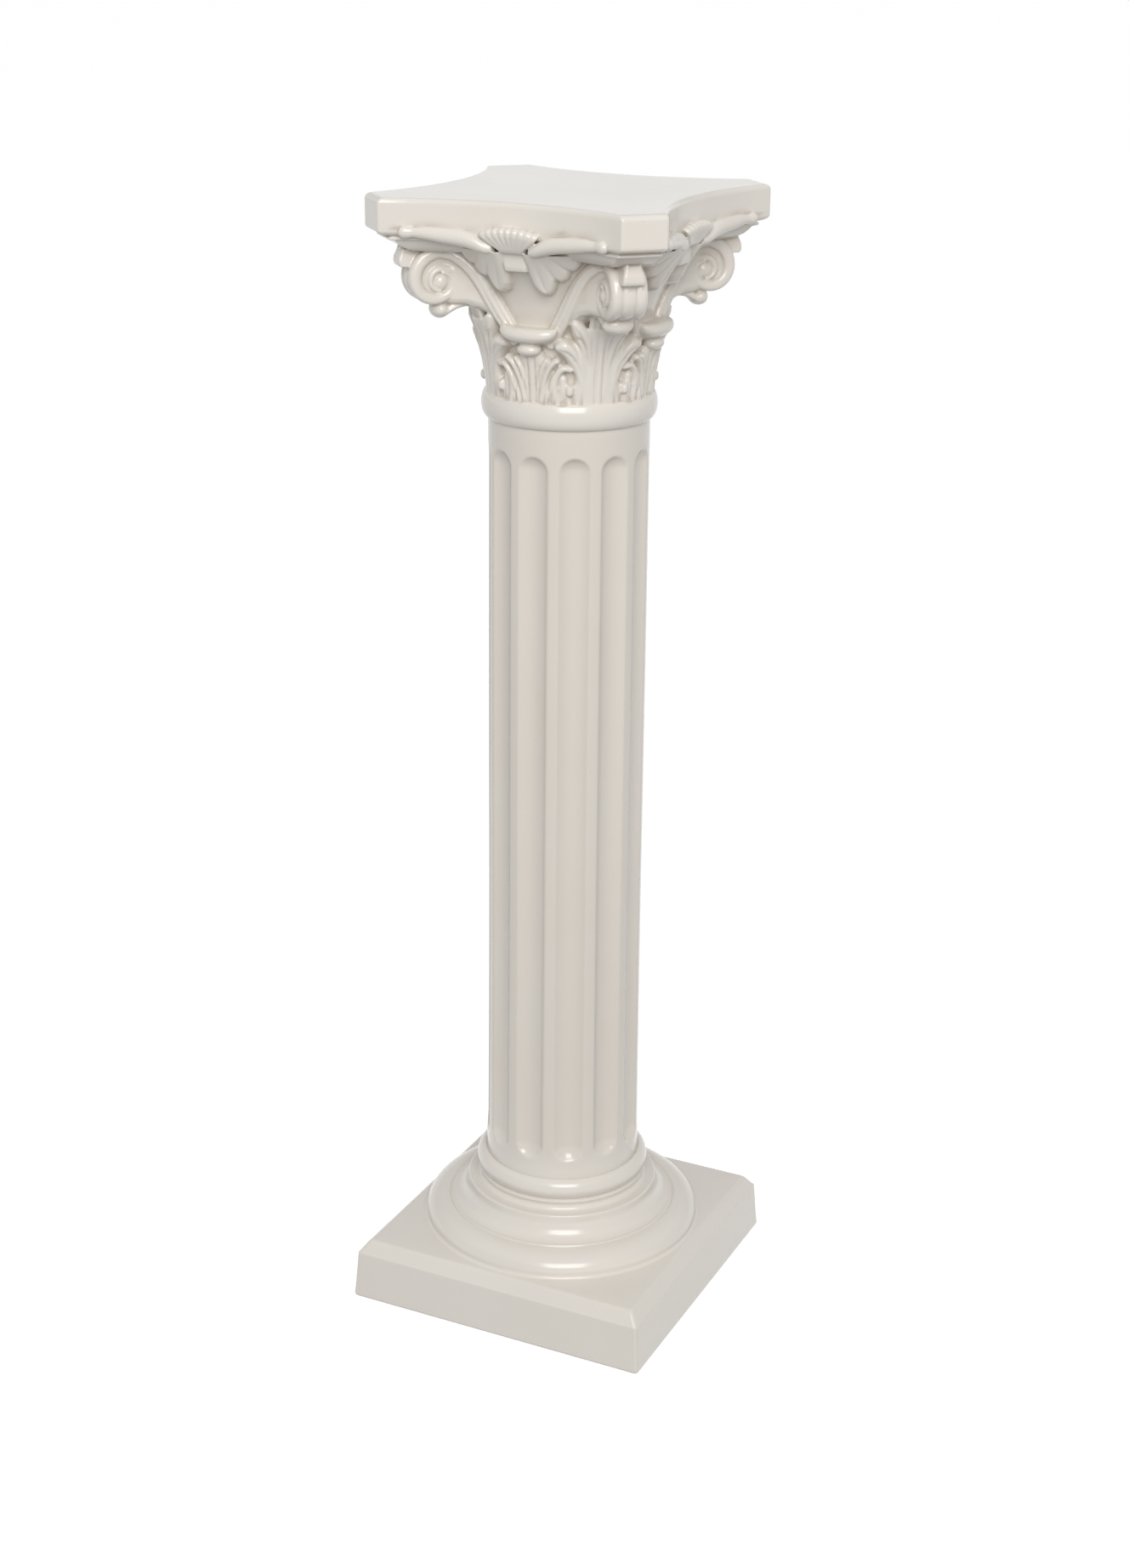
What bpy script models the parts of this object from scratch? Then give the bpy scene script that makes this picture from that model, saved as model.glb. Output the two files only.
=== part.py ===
"""A pedestal column with a fluted shaft and a leafed capital, made as one closed body.

Metres, +Z up, with the origin under the middle of the plinth. The four faces of the capital
look along X and Y, and its four corners lie between them. Every ornament is made once in the
frame of its own face or corner and repeated round the axis.
"""
import math

import bmesh
import bpy
from mathutils import Matrix, Vector

# Whole column
COLUMN_HEIGHT = 1.0
QUARTERS = 4

# Plinth
PLINTH_WIDTH = 0.288
PLINTH_DRAFT = 0.003
PLINTH_FACE_HEIGHT = 0.045
PLINTH_BORDER_WIDTH = 0.010
PLINTH_BORDER_RISE = 0.0115
PLINTH_EDGE_ROUND = 0.003
PLINTH_CORNER_ROUND = 0.003

# Base mouldings, from the plinth up
BASE_SIDES = 40
LOWER_ROLL_RADIUS = 0.1265
LOWER_ROLL_DEPTH = 0.0215
LOWER_ROLL_HEIGHT = 0.0200
SLOPE_STEP = 0.003
SLOPE_TOP_RADIUS = 0.0872
SLOPE_HEIGHT = 0.0165
FILLET_HEIGHT = 0.0048
FILLET_INSET = 0.0080
HOLLOW_DEPTH = 0.0035
HOLLOW_HEIGHT = 0.0090
UPPER_ROLL_RADIUS = 0.0788
UPPER_ROLL_HEIGHT = 0.0200

# Shaft and its flutes
SHAFT_FOOT_RADIUS = 0.0701
SHAFT_WAIST_RADIUS = 0.0687
SHAFT_WAIST_HEIGHT = 0.45
SHAFT_TOP_RADIUS = 0.0678
FLUTE_COUNT = 12
FLUTE_WIDTH = 0.0262
FLUTE_DEPTH = 0.0062
FLUTE_FACETS = 4
FLUTE_END_STEPS = 3
FLUTE_FOOT_GAP = 0.0175
FLUTE_HEAD_GAP = 0.023

# Ring under the capital
NECK_ROLL_RADIUS = 0.0738
NECK_ROLL_HEIGHT = 0.023
NECK_ROLL_STEP = 0.0006
NECK_SIDES = 40

# Capital: its height above the neck roll and the bell behind its leaves
CAPITAL_HEIGHT = 0.162
BELL_FOOT_RADIUS = 0.0660
BELL_FLARE = 0.034
BELL_HEIGHT = 0.120
BELL_ROWS = 6
BELL_SIDES = 32

# Abacus
ABACUS_WIDTH = 0.2644
ABACUS_FACE_HEIGHT = 0.027
ABACUS_CORNER_CUT = 0.0268
ABACUS_HOLLOW = 0.024
ABACUS_EDGE_ROUND = 0.005
ABACUS_LEDGE_INSET = 0.005
ABACUS_LEDGE_HEIGHT = 0.004
ABACUS_COVE_INSET = 0.011
ABACUS_COVE_HEIGHT = 0.012
ABACUS_SIDE_STEPS = 7

# Shell, block and swags on each face. Shell rows are (share of the rise, share of the spread,
# bulge), block rows (share of the height, setback) and swag rows (share of the length, size, drop)
SHELL_HALF_WIDTH = 0.0255
SHELL_NECK_HALF_WIDTH = 0.0090
SHELL_DROP = 0.0125
SHELL_RISE = 0.0215
SHELL_BULGE = 0.0085
SHELL_ROOT = 0.012
SHELL_RIBS = 9
SHELL_RIB_DEPTH = 0.0012
SHELL_CROWN_FALL = 0.22
SHELL_SIDE_CURL = 0.35
SHELL_ROWS = ((0.0, 0.0, -0.35), (0.3, 0.3, 0.45), (0.7, 0.85, 0.95), (0.94, 1.0, 0.75))
BLOCK_HALF_WIDTH = 0.0095
BLOCK_SETBACK = 0.0052
BLOCK_HEIGHT = 0.0140
BLOCK_ROOT = 0.024
BLOCK_ROWS = ((1.0, 0.25), (0.9, 0.07), (-0.15, 0.0))
SWAG_START = 0.0170
SWAG_CORNER_GAP = 0.0030
SWAG_HALF_THICKNESS = 0.0070
SWAG_SIDES = 7
SWAG_ROWS = ((0.0, 0.50, 1.25), (0.08, 0.85, 1.05), (0.22, 1.0, 0.55), (0.5, 0.95, 0.05),
             (0.76, 0.72, -0.12), (0.84, 0.62, -0.15), (0.91, 0.78, -0.17), (0.97, 0.70, -0.17),
             (1.0, 0.35, -0.17))

# Joints of the bodies: how far one runs into the next, and the weld that closes hair-thin seams
SINK = 0.004
WELD = 0.00002
CARVING_TRIANGLES = 4800

# The carving is drawn in parts. The capital's height has CAPITAL_PARTS of them, so a part is one
# millimetre at the real size. Places are given outward from the axis, sideways from the middle of
# a face or corner, and up from the capital's foot. The drawing has this foot and corner radius
CAPITAL_PARTS = 162
DRAWN_FOOT = 66
DRAWN_CORNER = 168

# Volutes: the eye's place, and the outer radius and half width of the roll at each quarter turn
VOLUTE_EYE = (113.8, 93.5)
VOLUTE_EYE_RADIUS = 7.0
VOLUTE_EYE_ROWS = ((-1.0, 1.0), (0.3, 1.0), (0.7, 0.6))
VOLUTE_QUARTER_RADII = (29.0, 26.8, 17.2, 12.4, 8.4)
VOLUTE_ROLL_WIDTHS = (5.3, 5.4, 4.4, 3.0, 1.6)
VOLUTE_START = 90
VOLUTE_STEP = 20
VOLUTE_FACE = 11
VOLUTE_RELIEF = 4.2
STEM_PATH = ((66.0, 38.5, 53.0), (74.0, 34.5, 69.5), (85.5, 28.5, 94.0), (92.5, 25.0, 104.0),
             (101.0, 20.5, 112.5))
STEM_HALF_WIDTH = 6.2
STEM_STEPS = 6
WEB_ROWS = ((58.0, 46, 64), (74.0, 54, 88), (84.0, 65, 98), (94.0, 71, 113), (104.0, 70, 121),
            (113.8, 74, 122))
WEB_SECTION = ((1.0, 1.0), (1.0, 0.4), (0.8, 0.12), (0.4, 0.0))
WEB_FLARE = 0.43
BAND_ANGLES = (-10, 8, 26, 44, 62, 80, 98, 116, 134, 154, 176, 200, 230, 270, 310)
BAND_PROFILE = ((-10.8, 2.5), (-10.0, 0.0), (-6.8, 0.2), (-5.7, 1.9), (-4.6, 0.2), (0.0, 0.0),
                (4.6, 0.2), (5.7, 1.9), (6.8, 0.2), (10.0, 0.0), (10.8, 2.5))
CORNER_BLOCK_ROWS = ((106.0, 9.3, 146.0), (109.5, 9.3, 148.2), (115.0, 8.0, 147.6), (124.0, 6.2, 143.0))
CORNER_BLOCK_BACK = 128

# Leaves that hug the bell: rows of (height, half width, lift) for a blade, and (path of sideways
# and upward places, half widths, lifts) for a lobe on each hand
LEAF_WRAP_RADIUS = 74.5
LEAF_ROOT = 4
LEAF_RIB_HALF_WIDTH = 3.0
LEAF_GROOVE = 1.4
TALL_BLADE = ((-3, 24.0, 3.5), (12, 23.0, 5.5), (28, 20.0, 7.0), (42, 17.0, 9.0), (54, 15.0, 8.0))
SMALL_BLADE = ((-3, 12.5, 3.0), (15, 13.0, 4.5), (29, 14.0, 6.0), (41, 11.0, 8.0))
EAR_LOBE = (((8.5, 34), (13.0, 50), (21.0, 65)), (5.0, 7.2, 4.6), (8.0, 11.8, 11.0))
SIDE_LOBE = (((13.0, 13), (16.2, 29), (21.5, 40.5), (27.0, 45), (31.0, 43.5)), (5.0, 7.2, 7.8, 5.0),
             (5.0, 8.0, 11.4, 10.0))
HOOK_LOBE = (((35.5, -2), (37.8, 15), (34.5, 24.5), (29.5, 28.5), (23.5, 27.5)), (3.6, 4.0, 3.6, 2.8),
             (4.5, 6.2, 7.5, 7.0))
BULGE_LOBE = (((25.5, 5), (25.5, 17)), (3.2, 4.4, 2.0), (4.0, 6.0, 4.0))
SMALL_SIDE_LOBE = (((6.0, 6), (9.5, 20), (16.0, 32), (23.5, 34)), (4.2, 5.4, 5.0, 3.0), (4.0, 5.5, 7.8, 7.0))

# Leaf parts that leave the bell
TONGUE_PATH = ((73.0, 38.0), (79.0, 52.0), (83.5, 62.5), (89.0, 69.5), (97.0, 71.5), (105.0, 68.5),
               (111.0, 66.0))
TONGUE_HALF_WIDTHS = (14.0, 11.5)
TONGUE_SECTION = ((-1, -6.0), (-0.8, 1.0), (-0.25, 1.0), (0, 2.5), (0.25, 1.0), (0.8, 1.0), (1, -6.0))
DROP_CENTRE = (112.5, 0.0, 71.0)
DROP_RADII = (8.0, 13.0, 8.0)
SMALL_TIP_CENTRE = (76.5, 0.0, 43.5)
SMALL_TIP_RADII = (8.0, 11.0, 5.5)
CALYX_SECTION = ((62.0, 40.0), (79.0, 46.6), (87.0, 49.6), (89.2, 54.5), (87.0, 61.2), (80.0, 61.6),
                 (62.0, 60.0))
CALYX_HALF_ANGLE = 20
CALYX_STEPS = 8
CALYX_SHRINK = 0.05
CALYX_LIFT = 4
HANGING_LEAF_ROWS = ((7.5, 108, 97), (13.0, 94, 96), (20.0, 88, 95), (26.0, 91, 96), (31.0, 100, 98),
                     (40.0, 102, 100), (44.5, 106, 101), (48.0, 113, 103), (57.0, 116, 105))
HANGING_LEAF_TOP = 126
HANGING_LEAF_BACK = 79
HANGING_LEAF_BELLY = 3.5
HANGING_LEAF_LIP = 2
HANGING_LEAF_UNDERCUT = 3

# Glazed white ceramic
GLAZE_COLOUR = (0.78, 0.755, 0.715, 1.0)
GLAZE_ROUGHNESS = 0.3


def clear_scene():
    """Removes whatever objects the file already holds."""
    for old in list(bpy.data.objects):
        bpy.data.objects.remove(old, do_unlink=True)


def glaze_material():
    """The one finish of the column."""
    material = bpy.data.materials.new("white_glaze")
    material.use_nodes = True
    shader = material.node_tree.nodes["Principled BSDF"]
    shader.inputs["Base Color"].default_value = GLAZE_COLOUR
    shader.inputs["Roughness"].default_value = GLAZE_ROUGHNESS
    shader.inputs["Metallic"].default_value = 0.0
    return material


def mix(first, second, share):
    """The value that lies a share of the way from first to second."""
    return first + (second - first) * share


def arc(centre, radii, start, end, steps):
    """Points of an elliptic arc as (radius, height) pairs, with angles in degrees."""
    points = []
    for step in range(steps + 1):
        angle = math.radians(mix(start, end, step / steps))
        points.append((centre[0] + radii[0] * math.cos(angle), centre[1] + radii[1] * math.sin(angle)))
    return points


def read_curve(points, share):
    """A point on the smooth curve through a few points, read at a share of its length."""
    spans = len(points) - 1
    place = min(max(share, 0.0), 1.0) * spans
    index = min(int(place), spans - 1)
    local = place - index
    before = points[max(index - 1, 0)]
    here = points[index]
    there = points[index + 1]
    after = points[min(index + 2, spans)]
    result = []
    for p0, p1, p2, p3 in zip(before, here, there, after):
        slope_in = (p2 - p0) / 2
        slope_out = (p3 - p1) / 2
        rise = p2 - p1
        cubic = slope_in + slope_out - 2 * rise
        square = 3 * rise - 2 * slope_in - slope_out
        result.append(((cubic * local + square) * local + slope_in) * local + p1)
    return tuple(result)


def smooth_points(points, steps):
    """Evenly counted points along the smooth curve through a few points."""
    return [read_curve(points, step / steps) for step in range(steps + 1)]


def polar(radius, angle, height):
    """A point from its distance to the axis, its angle in radians and its height."""
    return Vector((radius * math.cos(angle), radius * math.sin(angle), height))


def loft(rings):
    """A closed body through rings of equal length, each end fanned to its own middle."""
    body = bmesh.new()
    rows = [[body.verts.new(point) for point in ring] for ring in rings]
    count = len(rows[0])
    for lower, upper in zip(rows, rows[1:]):
        for side in range(count):
            after = (side + 1) % count
            body.faces.new((lower[side], lower[after], upper[after], upper[side]))
    for row in (rows[0], rows[-1]):
        middle = body.verts.new(sum((vert.co for vert in row), Vector()) / count)
        for side in range(count):
            body.faces.new((row[side], row[(side + 1) % count], middle))
    bmesh.ops.recalc_face_normals(body, faces=body.faces)
    if body.calc_volume(signed=True) < 0:
        bmesh.ops.reverse_faces(body, faces=body.faces)
    return body


def to_object(name, bodies):
    """One object that holds the given bodies side by side."""
    mesh = bpy.data.meshes.new(name)
    whole = bmesh.new()
    for body in bodies:
        body.to_mesh(mesh)
        body.free()
        whole.from_mesh(mesh)
        mesh.clear_geometry()
    bmesh.ops.triangulate(whole, faces=whole.faces)
    whole.to_mesh(mesh)
    whole.free()
    result = bpy.data.objects.new(name, mesh)
    bpy.context.scene.collection.objects.link(result)
    return result


def repeat_round(name, make, first_angle):
    """The same body at each quarter turn, starting from an angle in degrees."""
    turn = 360 / QUARTERS
    return to_object(name, [make(math.radians(first_angle + turn * quarter)) for quarter in range(QUARTERS)])


def unite(target, piece, solver="EXACT"):
    """Adds a piece to the target, so that both are one closed body.

    The exact solver leaves open seams where many ornaments graze each other, so what touches
    the carving is joined with the manifold one.
    """
    cut = target.modifiers.new(piece.name, "BOOLEAN")
    cut.operation = "UNION"
    cut.solver = solver
    cut.object = piece
    graph = bpy.context.evaluated_depsgraph_get()
    mesh = bpy.data.meshes.new_from_object(target.evaluated_get(graph))
    target.modifiers.clear()
    target.data = mesh
    bpy.data.objects.remove(piece, do_unlink=True)


def lathe(profile, sides):
    """A turned body from (radius, height) pairs that run from its foot to its head."""
    turn = math.tau / sides
    return loft([[polar(radius, turn * side, height) for side in range(sides)] for radius, height in profile])


def rounded_square(half, corner, height):
    """A square ring whose corners are cut by a small round."""
    ring = []
    for quarter in range(QUARTERS):
        turn = Matrix.Rotation(quarter * math.tau / QUARTERS, 3, "Z")
        for angle in (0, 45, 90):
            reach = math.radians(angle)
            x = half - corner + corner * math.cos(reach)
            y = half - corner + corner * math.sin(reach)
            ring.append(turn @ Vector((x, y, height)))
    return ring


def plinth_top():
    """Height of the flat that the base mouldings stand on."""
    return PLINTH_FACE_HEIGHT + PLINTH_BORDER_RISE


def plinth():
    """The square block, with a soft lower edge, a sloped border and a flat top."""
    half = PLINTH_WIDTH / 2
    rows = (
        (half - PLINTH_EDGE_ROUND, 0.0),
        (half, PLINTH_EDGE_ROUND),
        (half - PLINTH_DRAFT, PLINTH_FACE_HEIGHT),
        (half - PLINTH_DRAFT - PLINTH_BORDER_WIDTH, plinth_top()),
    )
    return loft([rounded_square(reach, PLINTH_CORNER_ROUND, height) for reach, height in rows])


def base_profile():
    """Outline of the base: a low broad roll, a hollow slope, a fillet, a hollow and a roll."""
    foot = plinth_top()
    roll_middle = LOWER_ROLL_RADIUS - LOWER_ROLL_DEPTH
    roll_half = LOWER_ROLL_HEIGHT * 0.75
    outline = [(roll_middle, foot - SINK), (LOWER_ROLL_RADIUS - SINK, foot - SINK)]
    outline += arc((roll_middle, foot + LOWER_ROLL_HEIGHT - roll_half), (LOWER_ROLL_DEPTH, roll_half),
                   -20, 90, 4)
    slope_foot = foot + LOWER_ROLL_HEIGHT
    slope_start = roll_middle - SLOPE_STEP
    outline += arc((slope_start, slope_foot + SLOPE_HEIGHT), (slope_start - SLOPE_TOP_RADIUS, SLOPE_HEIGHT),
                   270, 180, 4)
    fillet_top = slope_foot + SLOPE_HEIGHT + FILLET_HEIGHT
    hollow_start = SLOPE_TOP_RADIUS - FILLET_INSET
    outline.append((SLOPE_TOP_RADIUS - FILLET_HEIGHT * 0.4, fillet_top - FILLET_HEIGHT * 0.25))
    outline.append((hollow_start, fillet_top))
    outline.append((hollow_start - HOLLOW_DEPTH, fillet_top + HOLLOW_HEIGHT * 0.55))
    roll_foot = fillet_top + HOLLOW_HEIGHT
    roll_depth = UPPER_ROLL_RADIUS - SHAFT_FOOT_RADIUS
    outline += arc((UPPER_ROLL_RADIUS - roll_depth, roll_foot + UPPER_ROLL_HEIGHT / 2),
                   (roll_depth, UPPER_ROLL_HEIGHT / 2), -60, 78, 4)
    return outline


def shaft_foot():
    """Height at which the plain shaft leaves the upper roll of the base."""
    base = plinth_top() + LOWER_ROLL_HEIGHT + SLOPE_HEIGHT + FILLET_HEIGHT + HOLLOW_HEIGHT
    return base + UPPER_ROLL_HEIGHT


def capital_foot():
    """Height of the capital's foot, on top of the neck roll."""
    return COLUMN_HEIGHT - CAPITAL_HEIGHT


def shaft_head():
    """Height at which the shaft runs into the neck roll."""
    return capital_foot() - NECK_ROLL_HEIGHT


def shaft_radius(height):
    """The shaft narrows a little to its waist, and a little more above it."""
    if height < SHAFT_WAIST_HEIGHT:
        share = (height - shaft_foot()) / (SHAFT_WAIST_HEIGHT - shaft_foot())
        return mix(SHAFT_FOOT_RADIUS, SHAFT_WAIST_RADIUS, math.sin(max(share, 0.0) * math.pi / 2))
    share = (height - SHAFT_WAIST_HEIGHT) / (shaft_head() - SHAFT_WAIST_HEIGHT)
    return mix(SHAFT_WAIST_RADIUS, SHAFT_TOP_RADIUS, share * share)


def shaft_ring(height, past_end):
    """One ring of the shaft; past_end runs from 0 in the open flute to 1 at its rounded tip."""
    radius = shaft_radius(height)
    half_angle = FLUTE_WIDTH / 2 / radius
    ring = []
    for flute in range(FLUTE_COUNT):
        middle = math.tau * flute / FLUTE_COUNT
        for facet in range(FLUTE_FACETS + 1):
            across = mix(-1, 1, facet / FLUTE_FACETS)
            scoop = FLUTE_DEPTH * max(0.0, 1 - across * across - past_end * past_end)
            ring.append(polar(radius - scoop, middle + half_angle * across, height))
    return ring


def shaft():
    """The fluted shaft, whose flutes end in half rounds at the foot and head."""
    end_length = FLUTE_WIDTH / 2
    low_end = shaft_foot() + FLUTE_FOOT_GAP
    high_end = shaft_head() - FLUTE_HEAD_GAP
    foot_rings = []
    head_rings = []
    for step in range(FLUTE_END_STEPS + 1):
        past_end = math.cos(math.pi / 2 * step / FLUTE_END_STEPS)
        along = end_length * (1 - past_end)
        foot_rings.append(shaft_ring(low_end + along, past_end))
        head_rings.insert(0, shaft_ring(high_end - along, past_end))
    rings = [shaft_ring(shaft_foot() - SINK, 1.0)] + foot_rings
    rings.append(shaft_ring(SHAFT_WAIST_HEIGHT, 0.0))
    rings += head_rings + [shaft_ring(shaft_head() + SINK, 1.0)]
    return loft(rings)


def bell_radius(height):
    """The bell behind the leaves swells outward towards the abacus."""
    share = (height - capital_foot()) / BELL_HEIGHT
    return BELL_FOOT_RADIUS + BELL_FLARE * max(share, 0.0) ** 3


def neck_roll():
    """The plain roll under the capital."""
    half = NECK_ROLL_HEIGHT / 2
    root = SHAFT_TOP_RADIUS + NECK_ROLL_STEP
    return lathe(arc((root, shaft_head() + half), (NECK_ROLL_RADIUS - root, half), -90, 84, 5), NECK_SIDES)


def bell():
    """The plain bell behind the leaves, from inside the neck roll to inside the abacus."""
    profile = [(BELL_FOOT_RADIUS, capital_foot() - SINK)]
    for row in range(BELL_ROWS):
        height = capital_foot() + BELL_HEIGHT * row / (BELL_ROWS - 1)
        profile.append((bell_radius(height), height))
    profile.append((bell_radius(height), height + SINK))
    return lathe(profile, BELL_SIDES)


def abacus_face(side):
    """Outward distance of a hollow abacus face, at a place sideways from its middle."""
    chord = ABACUS_WIDTH / 2 - ABACUS_CORNER_CUT
    radius = (chord * chord + ABACUS_HOLLOW * ABACUS_HOLLOW) / (2 * ABACUS_HOLLOW)
    reach = min(abs(side), chord)
    return ABACUS_WIDTH / 2 - ABACUS_HOLLOW + radius - math.sqrt(radius * radius - reach * reach)


def abacus_ring(inset, height):
    """One ring of the abacus: four hollow sides and four cut corners, drawn in by an inset."""
    chord = ABACUS_WIDTH / 2 - ABACUS_CORNER_CUT
    shrink = 1 - inset / (ABACUS_WIDTH / 2)
    ring = []
    for quarter in range(QUARTERS):
        turn = Matrix.Rotation(quarter * math.tau / QUARTERS, 3, "Z")
        for step in range(ABACUS_SIDE_STEPS + 1):
            side = mix(-chord, chord, step / ABACUS_SIDE_STEPS)
            ring.append(turn @ Vector((abacus_face(side) * shrink, side * shrink, height)))
    return ring


def abacus():
    """The top slab, with a softened upper edge, a small ledge below and a cove under that."""
    top = COLUMN_HEIGHT
    face_foot = top - ABACUS_FACE_HEIGHT
    ledge_foot = face_foot - ABACUS_LEDGE_HEIGHT
    cove_foot = ledge_foot - ABACUS_COVE_HEIGHT
    cove_inset = ABACUS_LEDGE_INSET + ABACUS_COVE_INSET
    rows = (
        (cove_inset + ABACUS_COVE_INSET, cove_foot),
        (cove_inset, cove_foot + ABACUS_COVE_HEIGHT * 0.25),
        (ABACUS_LEDGE_INSET + ABACUS_COVE_INSET * 0.5, ledge_foot - ABACUS_COVE_HEIGHT * 0.25),
        (ABACUS_LEDGE_INSET, ledge_foot),
        (ABACUS_LEDGE_INSET, ledge_foot + ABACUS_LEDGE_HEIGHT * 0.6),
        (0.0, face_foot + ABACUS_LEDGE_HEIGHT * 0.2),
        (0.0, top - ABACUS_EDGE_ROUND),
        (ABACUS_EDGE_ROUND * 0.3, top - ABACUS_EDGE_ROUND * 0.3),
        (ABACUS_EDGE_ROUND, top),
    )
    return loft([abacus_ring(inset, height) for inset, height in rows])


def corner_reach():
    """Distance from the axis to the middle of a cut corner of the abacus."""
    return (ABACUS_WIDTH - ABACUS_CORNER_CUT) / math.sqrt(2)


def part():
    """The size of one part of the drawing."""
    return CAPITAL_HEIGHT / CAPITAL_PARTS


def place(facing, outward, side, height):
    """A point of the drawn carving, in the frame of a face or corner that looks along facing."""
    radius = math.hypot(outward, side)
    angle = facing + math.atan2(side, outward)
    if radius < DRAWN_FOOT:
        reach = BELL_FOOT_RADIUS * radius / DRAWN_FOOT
    else:
        reach = mix(BELL_FOOT_RADIUS, corner_reach(), (radius - DRAWN_FOOT) / (DRAWN_CORNER - DRAWN_FOOT))
    return polar(reach, angle, capital_foot() + height * part())


def on_bell(facing, side, height, lift):
    """A point of the drawn carving that stands proud of the bell, at an arc length sideways."""
    level = capital_foot() + height * part()
    return polar(bell_radius(level) + lift * part(), facing + side / LEAF_WRAP_RADIUS, level)


def lobe(facing, hand, drawing, steps=4):
    """A rounded finger of a leaf that follows its drawn path on the bell, on one hand."""
    path, widths, lifts = drawing
    rings = []
    for step in range(steps + 1):
        share = step / steps
        side, height = read_curve(path, share)
        ahead = read_curve(path, min(share + 0.05, 1.0))
        behind = read_curve(path, max(share - 0.05, 0.0))
        along = Vector((ahead[0] - behind[0], ahead[1] - behind[1])).normalized()
        width = read_curve([(value,) for value in widths], share)[0]
        lift = read_curve([(value,) for value in lifts], share)[0]
        ring = []
        for across, rise in ((-1, 0.0), (-0.75, 0.75), (0, 1), (0.75, 0.75), (1, 0.0)):
            shift = across * width
            ring.append(on_bell(facing, hand * (side + along.y * shift), height - along.x * shift,
                                mix(-LEAF_ROOT, lift, rise)))
        rings.append(ring)
    return loft(rings)


def dome(facing, centre, radii, sides=8, rows=2):
    """An egg-shaped lump, drawn round an (outward, side, height) centre."""
    rings = []
    for row in range(-rows, rows + 1):
        lean = math.pi / 2 * row / (rows + 0.4)
        ring = []
        for side in range(sides):
            turn = math.tau * side / sides
            out = centre[0] + radii[0] * math.cos(lean) * math.cos(turn)
            across = centre[1] + radii[1] * math.cos(lean) * math.sin(turn)
            ring.append(place(facing, out, across, centre[2] + radii[2] * math.sin(lean)))
        rings.append(ring)
    return loft(rings)


def blade(facing, rows):
    """The body of a leaf with a raised rib, from rows of (height, half width, lift)."""
    rib = LEAF_RIB_HALF_WIDTH
    rings = []
    for height, half, lift in rows:
        section = (
            (-half, -LEAF_ROOT),
            (-half * 0.94, lift * 0.75),
            (-rib * 1.35, lift),
            (-rib, lift - LEAF_GROOVE),
            (-rib * 0.6, lift + LEAF_GROOVE * 0.3),
        )
        ring = [on_bell(facing, side, height, level) for side, level in section]
        ring += [on_bell(facing, -side, height, level) for side, level in reversed(section)]
        rings.append(ring)
    return loft(rings)


def volute_value(turned, values):
    """Reads one of the quarter-turn lists at an angle in degrees past the volute's top."""
    share = turned / 90 / (len(values) - 1)
    return read_curve([(value,) for value in values], share)[0]


def web(facing):
    """The solid between the two stems of a corner, arched below and wider towards the bell."""
    rings = []
    for outward, low, crown in WEB_ROWS:
        half = VOLUTE_FACE + (VOLUTE_EYE[0] - outward) * WEB_FLARE
        section = [(half * across, mix(low, crown, up)) for across, up in WEB_SECTION]
        ring = [place(facing, outward, side, height) for side, height in section]
        ring += [place(facing, outward, -side, height) for side, height in reversed(section)]
        rings.append(ring)
    return loft(rings)


def band(facing):
    """The three-ribbed front that joins the two volutes of a corner."""
    last_turn = 90 * (len(VOLUTE_QUARTER_RADII) - 2)
    rings = []
    for side, depth in BAND_PROFILE:
        ring = []
        for turned in BAND_ANGLES:
            radius = volute_value(min(max(turned, 0), last_turn), VOLUTE_QUARTER_RADII)
            if turned > last_turn:
                radius = VOLUTE_QUARTER_RADII[0] * 0.7
            angle = math.radians(VOLUTE_START - turned)
            out = VOLUTE_EYE[0] + (radius - depth) * math.cos(angle)
            ring.append(place(facing, out, side, VOLUTE_EYE[1] + (radius - depth) * math.sin(angle)))
        rings.append(ring)
    return loft(rings)


def stem_and_roll(facing, hand):
    """A stem that rises from the calyx and rolls up into a volute, on one hand of a corner."""
    stations = []
    for outward, side, height in smooth_points(STEM_PATH, STEM_STEPS):
        stations.append((outward, side - VOLUTE_RELIEF * 0.6, height, STEM_HALF_WIDTH))
    last_turn = 90 * (len(VOLUTE_QUARTER_RADII) - 1)
    for turned in range(0, last_turn + 1, VOLUTE_STEP):
        width = volute_value(turned, VOLUTE_ROLL_WIDTHS)
        radius = volute_value(turned, VOLUTE_QUARTER_RADII) - width
        angle = math.radians(VOLUTE_START - turned)
        out = VOLUTE_EYE[0] + radius * math.cos(angle)
        stations.append((out, VOLUTE_FACE, VOLUTE_EYE[1] + radius * math.sin(angle), width))
    rings = []
    for index, (out, side, height, width) in enumerate(stations):
        before = stations[max(index - 1, 0)]
        after = stations[min(index + 1, len(stations) - 1)]
        along = Vector((after[0] - before[0], after[2] - before[2])).normalized()
        ring = []
        for across, rise in ((-1, -0.5), (-0.7, 0.75), (0, 1), (0.7, 0.75), (1, -0.5)):
            shift = across * width
            ring.append(place(facing, out - along.y * shift, hand * (side + rise * VOLUTE_RELIEF),
                              height + along.x * shift))
        rings.append(ring)
    return loft(rings)


def volute_eye(facing, hand):
    """The round button in the middle of a volute."""
    rings = []
    for rise, share in VOLUTE_EYE_ROWS:
        ring = []
        for side in range(8):
            angle = math.tau * side / 8
            out = VOLUTE_EYE[0] + VOLUTE_EYE_RADIUS * share * math.cos(angle)
            height = VOLUTE_EYE[1] + VOLUTE_EYE_RADIUS * share * math.sin(angle)
            ring.append(place(facing, out, hand * (VOLUTE_FACE + rise * VOLUTE_RELIEF), height))
        rings.append(ring)
    return loft(rings)


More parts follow.
